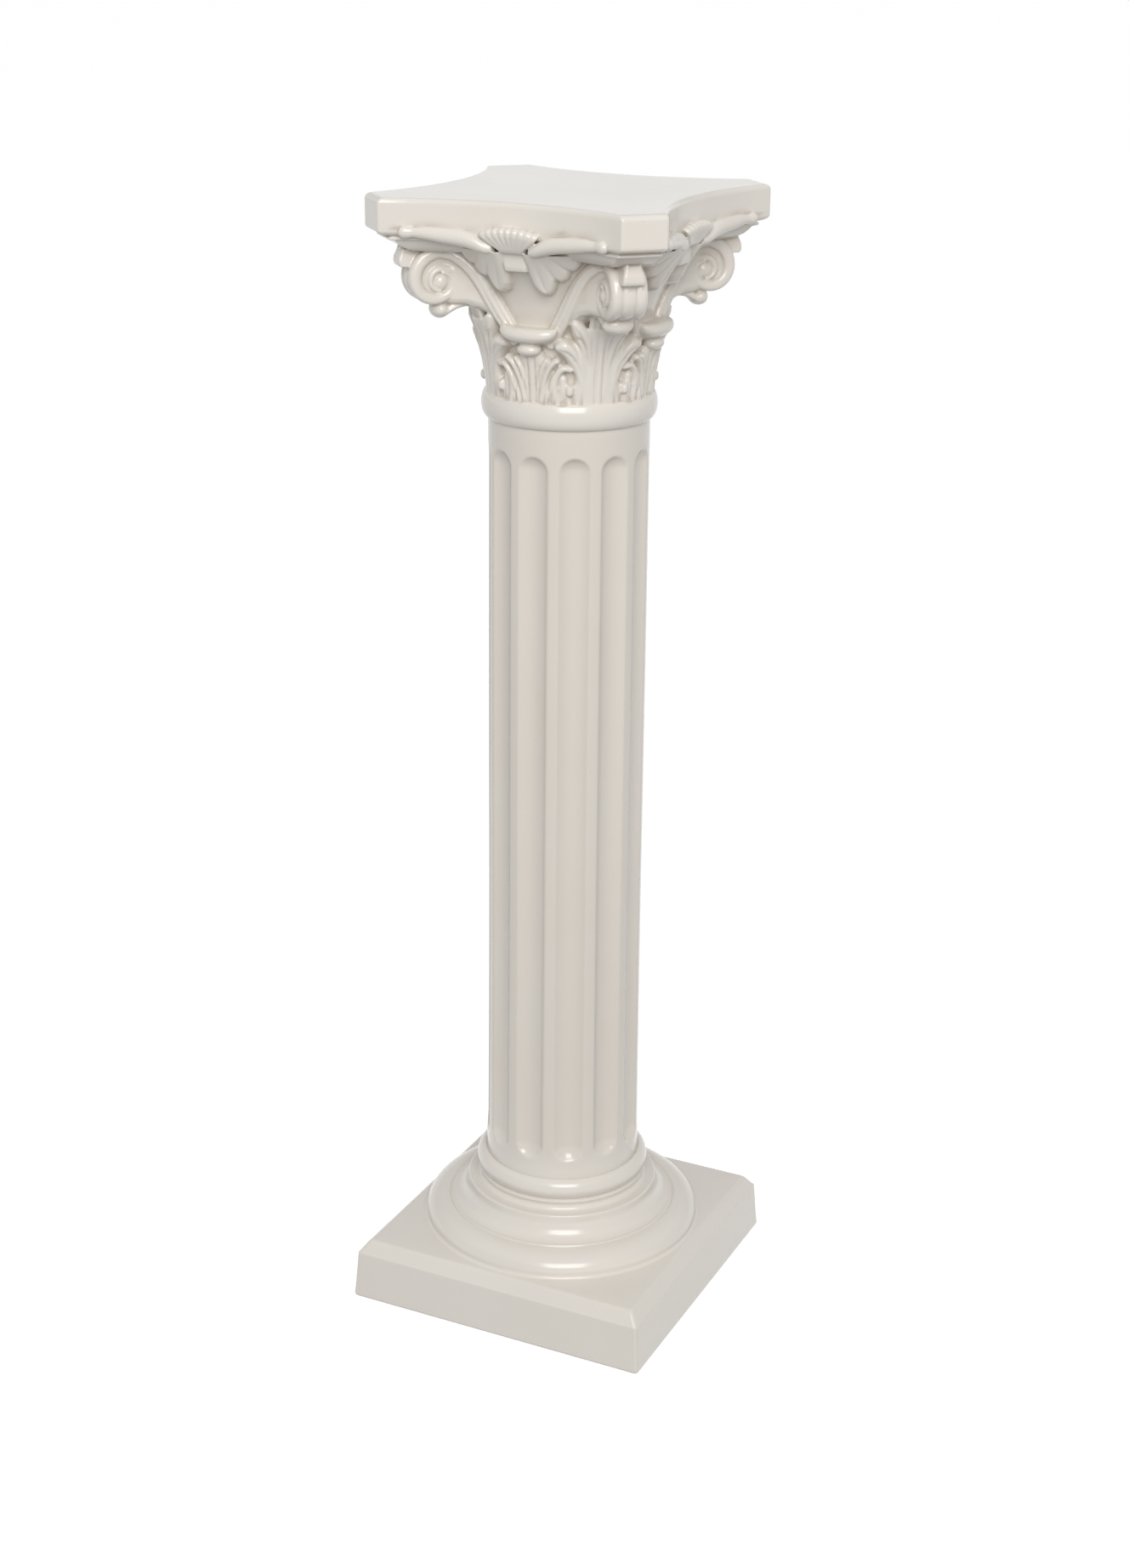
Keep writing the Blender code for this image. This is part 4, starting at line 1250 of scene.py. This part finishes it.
    def strap(self, hand: Hand, path: np.ndarray, half: np.ndarray, lean: np.ndarray, relief: float,
              ribs: np.ndarray | None = None) -> Body:
        """A rounded strap along a path beside a corner's middle.

        Args:
            hand: The side of the corner that it lies on.
            path: Rows of the outward, sideways and upward place of its crest.
            half: Its half width at each row.
            lean: The way it faces at each row, in degrees from outward towards sideways.
            relief: How far its crest stands over its edges.
            ribs: Depth of the two grooves along it at each row, if it has them.

        Returns:
            The closed shell.
        """
        ahead = unit(np.gradient(path, axis=0))
        angle = np.radians(lean)
        facing = np.stack([np.cos(angle), np.sin(angle), np.zeros_like(angle)], -1)
        facing = unit(facing - ahead * (ahead * facing).sum(1)[:, None])
        across = np.cross(ahead, facing)
        place = np.linspace(-1, 1, 25)
        depth = ((1 - np.abs(place) ** self.strap_power) ** (1 / self.strap_power) - 1) * relief
        depth = np.repeat(depth[None], len(path), 0)
        if ribs is not None:
            grooves = np.exp(-((np.abs(place) - self.rib_place) / self.rib_width) ** 2)
            depth = depth - grooves * ribs[:, None]
        place = np.concatenate([place, [0.8, 0.0, -0.8]])
        depth = np.hstack([depth, np.full((len(path), 3), -relief - self.strap_root)])
        drawn = path[:, None] + across[:, None] * (place * half[:, None])[..., None] + \
            facing[:, None] * depth[..., None]
        return loft(self.stand(Facing.CORNER, drawn[..., 0], drawn[..., 1] * hand.value, drawn[..., 2]))

    def spiral(self, radii: Sequence[float], halves: Sequence[float], turns: np.ndarray) -> np.ndarray:
        """Rows of outward, sideways, upward and half width of a roll round the volute's eye.

        Args:
            radii: Outer radius at each quarter turn from the top.
            halves: Half width at each quarter turn.
            turns: Angles past the top in degrees.

        Returns:
            The rows, with the crest on the volute's own plane.
        """
        shares = turns / 90 / (len(radii) - 1)
        half = read_values(halves, shares)
        middle = read_values(radii, shares) - half
        angle = np.radians(90 - turns)
        crest = np.full(len(turns), self.volute_face + self.volute_relief)
        out = self.eye[0] + middle * np.cos(angle)
        height = self.eye[1] + middle * np.sin(angle)
        return np.stack([out, crest, height, half], -1)

    def stem_and_roll(self, hand: Hand) -> list[Body]:
        """Builds a ribbed stem that rolls up into a volute, and the roll inside it.

        Args:
            hand: The side of the corner that it lies on.

        Returns:
            Both closed shells.
        """
        stem = read_curve(self.stem_path, np.linspace(0, 1, 44))
        outer_turn, inner_turn = (90 * (len(radii) - 1) for radii in (self.outer_radii, self.inner_radii))
        roll = self.spiral(self.outer_radii, self.outer_halves, np.linspace(0, outer_turn, 76))
        outer = np.vstack([stem[:, :4], roll])
        lean = np.concatenate([stem[:, 4], np.full(len(roll), 90.0)])
        fade = np.clip(1 - np.arange(len(outer)) / 40, 0, 1) ** 0.8 * 1.6
        lead = read_curve(self.inner_lead, np.linspace(0, 1, 14))
        curl = self.spiral(self.inner_radii, self.inner_halves, np.linspace(0, inner_turn, 40))
        inner = np.vstack([lead, curl - np.array([0, 1.0, 0, 0])])
        return [self.strap(hand, outer[:, :3], outer[:, 3], lean, self.volute_relief, fade),
                self.strap(hand, inner[:, :3], inner[:, 3], np.full(len(inner), 88.0), self.inner_relief)]

    def eye_button(self, hand: Hand) -> Body:
        """The round button in the middle of a volute."""
        centre = (self.eye[0], hand.value * self.volute_face, self.eye[1])
        return self.egg(Facing.CORNER, centre, (self.eye_radius, self.volute_relief + 0.4, self.eye_radius))

    def web(self) -> Body:
        """Builds the solid between a corner's stems, arched and flared below.

        Returns:
            The closed shell.
        """
        rings = []
        for outward, low, crown in self.web_rows:
            half = self.volute_face + max(self.eye[0] - outward, 0.0) * self.web_spread
            section = ((half - 1.0, crown), (half - 0.4, (crown + low) / 2 + 4), (half + 0.6, low + 9),
                       (half + 0.4, low + 4.5), (half - 1.6, low + 1.2), (half * 0.7, low - 0.2),
                       (half * 0.35, low))
            ring = [(outward, side, height) for side, height in section]
            ring += [(outward, -side, height) for side, height in reversed(section)]
            rings.append(np.array(ring))
        drawn = np.array(rings)
        return loft(self.stand(Facing.CORNER, drawn[..., 0], drawn[..., 1], drawn[..., 2]))

    def band(self) -> Body:
        """Builds the three-ribbed front that joins the two volutes of a corner.

        Returns:
            The closed shell.
        """
        turns = np.concatenate([np.linspace(-12, 200, 56), np.array([230.0, 270.0, 310.0])])
        shares = np.maximum(turns, 0) / 90 / (len(self.outer_radii) - 1)
        radii = read_values(self.outer_radii, shares)
        radii[-3:] = self.band_core
        sides, depths = np.array(self.band_profile).T
        sides = np.concatenate([-sides[:0:-1], sides])
        depths = np.concatenate([depths[:0:-1], depths])
        angle = np.radians(90 - turns)
        radius = radii - depths[:, None]
        out = self.eye[0] + radius * np.cos(angle)
        height = self.eye[1] + radius * np.sin(angle)
        return loft(self.stand(Facing.CORNER, out, sides[:, None] * np.ones_like(out), height))

    def corner_block(self) -> Body:
        """Builds the small tapering block on the band, just under the abacus.

        Returns:
            The closed shell.
        """
        root, bevel = self.corner_block_root, self.corner_block_bevel
        rings = []
        for height, half, front in self.corner_block_rows:
            outline = ((root, -half), (front - bevel, -half), (front, -half + bevel),
                       (front, half - bevel), (front - bevel, half), (root, half))
            rings.append(self.level_ring(Facing.CORNER, outline, height))
        return loft(np.array(rings))

    def tongue(self) -> Body:
        """Builds the middle of a tall leaf, which arches out under the volutes.

        Returns:
            The closed shell.
        """
        path = read_curve(self.tongue_path, np.linspace(0, 1, 44))
        along = unit(np.gradient(path, axis=0))
        across = np.linspace(-1, 1, 33)
        half = np.linspace(*self.tongue_halves, 44)
        ridge = self.tongue_rib_lift * np.cos(across * math.tau * self.tongue_ribs) - 0.5 * across ** 2
        rise = np.concatenate([ridge - np.where(np.abs(across) > 0.95, 1.2, 0), [-5.5, -6.0, -5.5]])
        across = np.concatenate([across, [0.85, 0.0, -0.85]])
        out = path[:, :1] + along[:, 1:] * rise
        height = path[:, 1:] - along[:, :1] * rise
        return loft(self.stand(Facing.CORNER, out, half[:, None] * across, height))

    def drop(self) -> Body:
        """The rounded tip that hangs from a tall leaf."""
        return self.egg(Facing.CORNER, self.drop_place, self.drop_radii)

    def small_tip(self) -> Body:
        """The half-round tip that curls off a small leaf."""
        return self.egg(Facing.FACE, self.tip_place, self.tip_radii)

    def calyx(self) -> Body:
        """Builds the cup over a small leaf, its rim rolled outward and lifted at both ends.

        Returns:
            The closed shell.
        """
        section = read_curve(self.calyx_section, np.linspace(0, 1, 40))
        root, middle = self.calyx_root
        narrow, flat = self.calyx_draw
        rings = []
        for share in np.linspace(-1, 1, 41):
            turn = math.radians(self.calyx_half_angle) * share
            end = 1 - math.sqrt(1 - 0.98 * abs(share) ** 3)
            out = root + (section[:, 0] - root) * (1 - narrow * end)
            height = middle + (section[:, 1] - middle) * (1 - flat * end) + self.calyx_lift * end
            rings.append(self.stand(Facing.FACE, out * math.cos(turn), out * math.sin(turn), height))
        return loft(np.array(rings))

    def face_block(self) -> Body:
        """Builds the small square block under the shell, with the ground it stands on.

        Returns:
            The closed shell.
        """
        front = self.abacus_face(np.zeros(1))[0] - self.face_block_inset
        root, wide = front - self.ground_root, self.ground_half
        rings = []
        for height, ahead, half, behind in self.face_block_rows:
            reach, ground = front + ahead, front + behind
            outline = ((root, -wide), (ground, -wide), (ground, -half), (reach - 1, -half),
                       (reach, -half + 1.2), (reach, half - 1.2), (reach - 1, half), (ground, half),
                       (ground, wide), (root, wide))
            rings.append(self.level_ring(Facing.FACE, outline, height))
        return loft(np.array(rings))

    def abacus_face(self, side: np.ndarray) -> np.ndarray:
        """Works out how far a hollow abacus face stands from the axis.

        Args:
            side: Places sideways from the face's middle.

        Returns:
            The outward distance at each.
        """
        chord = self.abacus_width / 2 - self.corner_cut
        radius = (chord * chord + self.hollow * self.hollow) / (2 * self.hollow)
        reach = np.minimum(np.abs(side), chord)
        return self.abacus_width / 2 - self.hollow + radius - np.sqrt(radius * radius - reach * reach)

    def abacus_outline(self) -> np.ndarray:
        """Draws the slab's plan: four hollow sides and cut corners with softened edges.

        Returns:
            Its points, against the clock.
        """
        chord = self.abacus_width / 2 - self.corner_cut
        soft = self.corner_round
        steps = 41
        side = np.linspace(soft - chord, chord - soft, steps)
        run = [(outward, across) for outward, across in zip(self.abacus_face(side), side)]
        corner = Vector((float(self.abacus_face(np.array([chord]))[0]), chord))
        other = Vector((corner.y, corner.x))
        bends = ((Vector(run[-1]), corner, corner.lerp(other, soft / (other - corner).length)),
                 (corner.lerp(other, 1 - soft / (other - corner).length), other, Vector(run[-1]).yx))
        for start, middle, end in bends:
            for share in (0.0, 0.25, 0.5, 0.75, 1.0):
                run.append(tuple(start.lerp(middle, share).lerp(middle.lerp(end, share), share)))
        doubled = (steps, len(run) - 1)
        quarter = np.array([point for index, point in enumerate(run) if index not in doubled])
        turns = np.arange(4) * math.tau / 4
        x = quarter[:, 0] * np.cos(turns)[:, None] - quarter[:, 1] * np.sin(turns)[:, None]
        y = quarter[:, 0] * np.sin(turns)[:, None] + quarter[:, 1] * np.cos(turns)[:, None]
        return np.stack([x.ravel(), y.ravel()], -1)

    def abacus(self) -> Body:
        """Builds the top slab: soft upper edge, plain face, small ledge and a cove below.

        Returns:
            The closed shell.
        """
        plan = self.abacus_outline()
        top, face_foot, edge = self.top, self.top - self.abacus_face_height, self.edge_round
        rows = [(inset, face_foot + up) for inset, up in self.cove_rows]
        rows += [(0.0, height) for height in np.arange(face_foot + 4.0, top - edge - 1.0, 2.2)]
        rows += [(edge - radius, height) for radius, height in arc((0, top - edge), (edge, edge), 0, 90, 9)]
        rows += [(edge + 1.2, top), (30.0, top), (90.0, top)]
        rings = []
        for inset, height in rows:
            shrunk = plan * (1 - inset / (self.abacus_width / 2)) * MM
            rings.append(np.column_stack([shrunk, np.full(len(plan), self.foot + height * MM)]))
        return loft(np.array(rings))

    def shell(self) -> Body:
        """Builds a ribbed scallop that spreads up over the abacus face from a narrow neck.

        Returns:
            The closed shell.
        """
        foot = self.top - self.abacus_face_height - self.shell_drop
        middle = float(self.abacus_face(np.zeros(1))[0])
        across = np.linspace(-1, 1, 141)
        rib = np.abs(np.cos(across * math.pi * self.shell_ribs)) ** 0.7
        crown = self.shell_crown * (1 - 0.20 * across ** 2) * (0.965 + 0.035 * rib)
        rows = []
        for up, spread, out in self.shell_rows:
            side = across * (self.shell_neck + (self.shell_half - self.shell_neck) * spread)
            groove = (rib - 1.0) * self.shell_groove * min(1.0, 0.4 + up) * (1 - 0.55 * across ** 2)
            depth = middle + out + groove - 2.4 * across ** 4 * up
            rows.append(np.stack([depth, side, foot + crown * up], -1))
        rows.append(np.stack([np.full(141, middle - 7.0), across * 24.6, foot + crown * 0.99], -1))
        rows.append(np.stack([np.full(141, middle - 12.0), across * 8.0, np.full(141, foot)], -1))
        drawn = np.array(rows).transpose(1, 0, 2)
        return loft(self.stand(Facing.FACE, drawn[..., 0], drawn[..., 1], drawn[..., 2]))

    def swag(self, hand: Hand) -> Body:
        """Builds a soft garland along the foot of the abacus face, with a knob at its outer end.

        Args:
            hand: The side of the face that it lies on.

        Returns:
            The closed shell.
        """
        foot = self.top - self.abacus_face_height
        side, drop, tall, deep = read_curve(self.swag_rows, np.linspace(0, 1, 76)).T
        out = self.abacus_face(side) - 1.0
        turn = np.linspace(0, math.tau, 29)[:-1]
        rings_out = out[:, None] + deep[:, None] * np.cos(turn)
        rings_up = foot + drop[:, None] + tall[:, None] * np.sin(turn)
        rings_side = np.repeat(side[:, None] * hand.value, len(turn), 1)
        return loft(self.stand(Facing.FACE, rings_out, rings_side, rings_up))

    def quarter(self) -> list[Body]:
        """Builds every separate ornament of one face and one corner.

        Returns:
            Their closed shells.
        """
        made = [self.web(), self.band(), self.corner_block(), self.tongue(), self.drop(), self.small_tip(),
                self.calyx(), self.face_block(), self.shell()]
        for hand in Hand:
            made += self.stem_and_roll(hand)
            made.append(self.eye_button(hand))
            made.append(self.swag(hand))
        return made

    def quarter_turns(self, material: bpy.types.Material) -> GeometryTree:
        """The node tree that repeats the ornaments by quarter turns.

        Args:
            material: The finish that the tree sets.

        Returns:
            The tree, ready to run on the object that holds one quarter.
        """
        made = GeometryTree("quarter_turns", {
            "Copies": ("NodeSocketInt", QUARTERS),
            "Material": ("NodeSocketMaterial", material),
        })
        shop = made.shop
        links = {"Count": made.given("Copies"), "Offset": (0.0, 0.0, 0.0)}
        spots = shop.add("GeometryNodeMeshLine", {"mode": "OFFSET"}, links)
        turn = shop.add("GeometryNodeInputIndex") / made.given("Copies") * math.tau
        placed = shop.add("GeometryNodeInstanceOnPoints", None, {
            "Points": spots,
            "Instance": made.given("Geometry"),
            "Rotation": shop.add("ShaderNodeCombineXYZ", None, {2: turn}),
        })
        made.finish(placed)
        return made

    def build(self, material: bpy.types.Material) -> bpy.types.Object:
        """Makes the capital: all ornaments fused into one soft cast skin.

        Args:
            material: Its finish.

        Returns:
            The finished object.
        """
        ornaments = to_object("ornaments", self.quarter())
        self.quarter_turns(material).run(ornaments)
        carved = to_object("capital", [self.bell()])
        both = bmesh.new()
        both.from_mesh(carved.data)
        both.from_mesh(ornaments.data)
        both.to_mesh(carved.data)
        both.free()
        bpy.data.objects.remove(ornaments, do_unlink=True)
        fuse = carved.modifiers.new("fuse", "REMESH")
        fuse.mode = "VOXEL"
        fuse.voxel_size = self.voxel * MM
        fuse.adaptivity = 0.0
        soften = carved.modifiers.new("soften", "SMOOTH")
        soften.factor = 0.5
        soften.iterations = self.smoothing
        bake_modifiers(carved)
        self.thin(carved)
        for name, body in (("abacus", self.abacus()), ("neck_roll", self.neck())):
            unite(carved, to_object(name, [body]), Solver.MANIFOLD)
        self.mark_painted_shade(carved)
        carved.data.materials.clear()
        carved.data.materials.append(material)
        return carved

    def mark_painted_shade(self, piece: bpy.types.Object) -> None:
        """Marks painted shade in a point attribute: in the hollows of the skin and under the abacus.

        Args:
            piece: The whole capital.
        """
        mesh = piece.data
        count = len(mesh.vertices)
        points = read_rows(mesh.vertices, "co", 3)
        normals = read_rows(mesh.vertex_normals, "vector", 3)
        first, second = read_rows(mesh.edges, "vertices", 2, int).T
        step = points[second] - points[first]
        length = np.linalg.norm(step, axis=1) + 1e-9
        bend = np.einsum("ij,ij->i", step, normals[first] - normals[second]) / length ** 2
        total = np.bincount(first, bend, count) + np.bincount(second, bend, count)
        links = np.bincount(first, minlength=count) + np.bincount(second, minlength=count)
        hollow = total / np.maximum(links, 1)
        for _ in range(self.painted_shade_passes):
            spread = np.bincount(first, hollow[second], count) + np.bincount(second, hollow[first], count)
            hollow = 0.5 * hollow + 0.5 * spread / np.maximum(links, 1)
        # Painted shade under the abacus, darker deeper inside the carving's reach.
        reach = np.hypot(points[:, 0], points[:, 1]) / MM
        heights, radii = np.array(self.carving_reach).T
        depth = (np.interp((points[:, 2] - self.foot) / MM, heights, radii) - reach) / self.sheltered_depth
        shelter_shade = self.shelter_shade_share * np.clip(depth, 0, 1)
        # Painted shade in the hollows and under the abacus, held under its limit.
        painted_darkening = np.clip(hollow * self.painted_shade_gain + shelter_shade, 0, self.painted_shade_limit)
        painted_shade = mesh.attributes.new("painted_shade", "FLOAT", "POINT")
        painted_shade.data.foreach_set("value", painted_darkening.astype(np.float32))

    def thin(self, piece: bpy.types.Object) -> None:
        """Thins the flat stretches of the skin until it is light enough.

        Args:
            piece: The fused skin.
        """
        triangles = 2 * len(piece.data.polygons)
        thin = piece.modifiers.new("thin", "DECIMATE")
        thin.ratio = min(1.0, self.triangle_limit / triangles)
        bake_modifiers(piece)


@dataclass(frozen=True)
class SoftLight:
    """One soft square light, its power in watts."""

    name: str = "key"
    place: Place = (1.2, -2.15, 2.15)
    aim: Place = (0.0, 0.0, 0.6)
    size: float = 1.6
    power: float = 48.0
    colour: Place = (1.0, 0.99, 0.975)

    def hang(self) -> None:
        """Adds the light to the scene."""
        data = bpy.data.lights.new(self.name, "AREA")
        data.size = self.size
        data.energy = self.power
        data.color = self.colour
        lamp = bpy.data.objects.new(self.name, data)
        lamp.location = self.place
        aim = Vector(self.aim) - Vector(self.place)
        lamp.rotation_euler = aim.to_track_quat("-Z", "Y").to_euler()
        bpy.context.scene.collection.objects.link(lamp)


@dataclass
class Studio:
    """The camera at the photograph's angle, the soft light and the pale floor."""

    focal_pixels: float = 2872.24
    camera_place: Place = (0.8714, -1.8210, 1.2484)
    yaw: float = -0.44685
    pitch: float = 0.36195
    roll: float = 0.00942
    sensor: float = 36.0
    floor_size: float = 60.0
    near_end: float = 0.05
    key: SoftLight = SoftLight()
    sky_under: Colour = (0.25, 0.245, 0.235, 1.0)
    sky_edge: Colour = (1.02, 1.02, 1.02, 1.0)
    sky_high: Colour = (0.56, 0.56, 0.56, 1.0)
    horizon_edge: float = 30.0
    bright_top: float = 0.3
    bright_fade: float = 6.0

    def camera(self) -> None:
        """Stands the camera where the photograph was taken from."""
        level = math.cos(self.pitch)
        forward = Vector((math.sin(self.yaw) * level, math.cos(self.yaw) * level, -math.sin(self.pitch)))
        right = Vector((math.cos(self.yaw), -math.sin(self.yaw), 0.0))
        up = right.cross(forward)
        across = right * math.cos(self.roll) + up * math.sin(self.roll)
        above = up * math.cos(self.roll) - right * math.sin(self.roll)
        data = bpy.data.cameras.new("camera")
        data.sensor_fit = "AUTO"
        data.sensor_width = self.sensor
        data.lens = self.focal_pixels * self.sensor / max(IMAGE_WIDTH, IMAGE_HEIGHT)
        data.clip_start = self.near_end
        camera = bpy.data.objects.new("camera", data)
        frame = Matrix((across, above, -forward)).transposed().to_4x4()
        frame.translation = self.camera_place
        camera.matrix_world = frame
        bpy.context.scene.collection.objects.link(camera)
        bpy.context.scene.camera = camera

    def sky(self) -> None:
        """Lights the column softly all round: a pale dome, brightest just above the horizon."""
        world = bpy.data.worlds.new("studio")
        bpy.context.scene.world = world
        world.use_nodes = True
        shop = NodeShop(world.node_tree)
        way = shop.add("ShaderNodeTexCoord", out="Generated")
        upward = shop.other(shop.add("ShaderNodeSeparateXYZ", None, {0: way}), 2)
        above = (upward * self.horizon_edge + 0.5).held()
        low = ((self.bright_top - upward) * self.bright_fade).held()
        dome = Glaze.blend(shop, above, self.sky_under, self.sky_high)
        tint = Glaze.blend(shop, above * low, dome, self.sky_edge)
        sky = shop.add("ShaderNodeBackground", None, {"Color": tint, "Strength": 1.0})
        shop.add("ShaderNodeOutputWorld", None, {"Surface": sky})

    def floor(self) -> None:
        """Lays the floor, which throws no light up at the column."""
        half = self.floor_size / 2
        corners = [(-half, -half, 0), (half, -half, 0), (half, half, 0), (-half, half, 0)]
        mesh = bpy.data.meshes.new("floor")
        mesh.from_pydata(corners, [], [(0, 1, 2, 3)])
        mesh.materials.append(StudioPaint().make())
        floor = bpy.data.objects.new("floor", mesh)
        bpy.context.scene.collection.objects.link(floor)
        floor.visible_diffuse = False

    def build(self) -> None:
        """Sets the sky, the light, the floor and the camera."""
        self.sky()
        self.key.hang()
        self.floor()
        bpy.context.scene.view_settings.view_transform = "Standard"
        self.camera()


def plinth_and_base(plinth: Plinth, base: BaseMouldings,
                    material: bpy.types.Material) -> bpy.types.Object:
    """Joins the plinth and the turned base into one shell.

    Args:
        plinth: The plinth.
        base: The base mouldings.
        material: Their finish.

    Returns:
        The finished object.
    """
    piece = to_object("plinth_and_base", [plinth.body()])
    unite(piece, to_object("turned_base", [base.body()]), Solver.EXACT)
    piece.data.materials.clear()
    piece.data.materials.append(material)
    return piece


def finish_piece(piece: bpy.types.Object, sharp: Sharp) -> None:
    """Shades a piece, hangs it on the frame and reports it.

    Args:
        piece: The object.
        sharp: Which of its edges stay sharp.
    """
    piece.data.shade_smooth()
    piece.data.set_sharp_from_angle(angle=math.radians(sharp.value))
    even = piece.modifiers.new("even", "WEIGHTED_NORMAL")
    even.keep_sharp = True
    bake_modifiers(piece)
    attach(piece, BODY)
    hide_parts(NODE)
    piece.data.calc_loop_triangles()
    LOG.info("%s: %d triangles", piece.name, len(piece.data.loop_triangles))


def main() -> None:
    """Builds the column around its frame, in order from the floor up."""
    logging.basicConfig(level=logging.INFO, format="%(name)s %(message)s")
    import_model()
    Studio().build()
    low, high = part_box(NODE)
    glaze = Glaze().make()
    plinth = Plinth(width=high.x - low.x)
    base = BaseMouldings(foot=plinth.top)
    capital = Capital(foot=high.z - CAPITAL_HEIGHT, column_height=high.z)
    shaft = FlutedShaft(foot=base.top, head=capital.foot - capital.neck_height * MM)
    finish_piece(plinth_and_base(plinth, base, glaze), Sharp.MOULDED)
    finish_piece(shaft.build(glaze), Sharp.FLUTED)
    finish_piece(capital.build(glaze), Sharp.NONE)


if __name__ == "__main__":
    main()
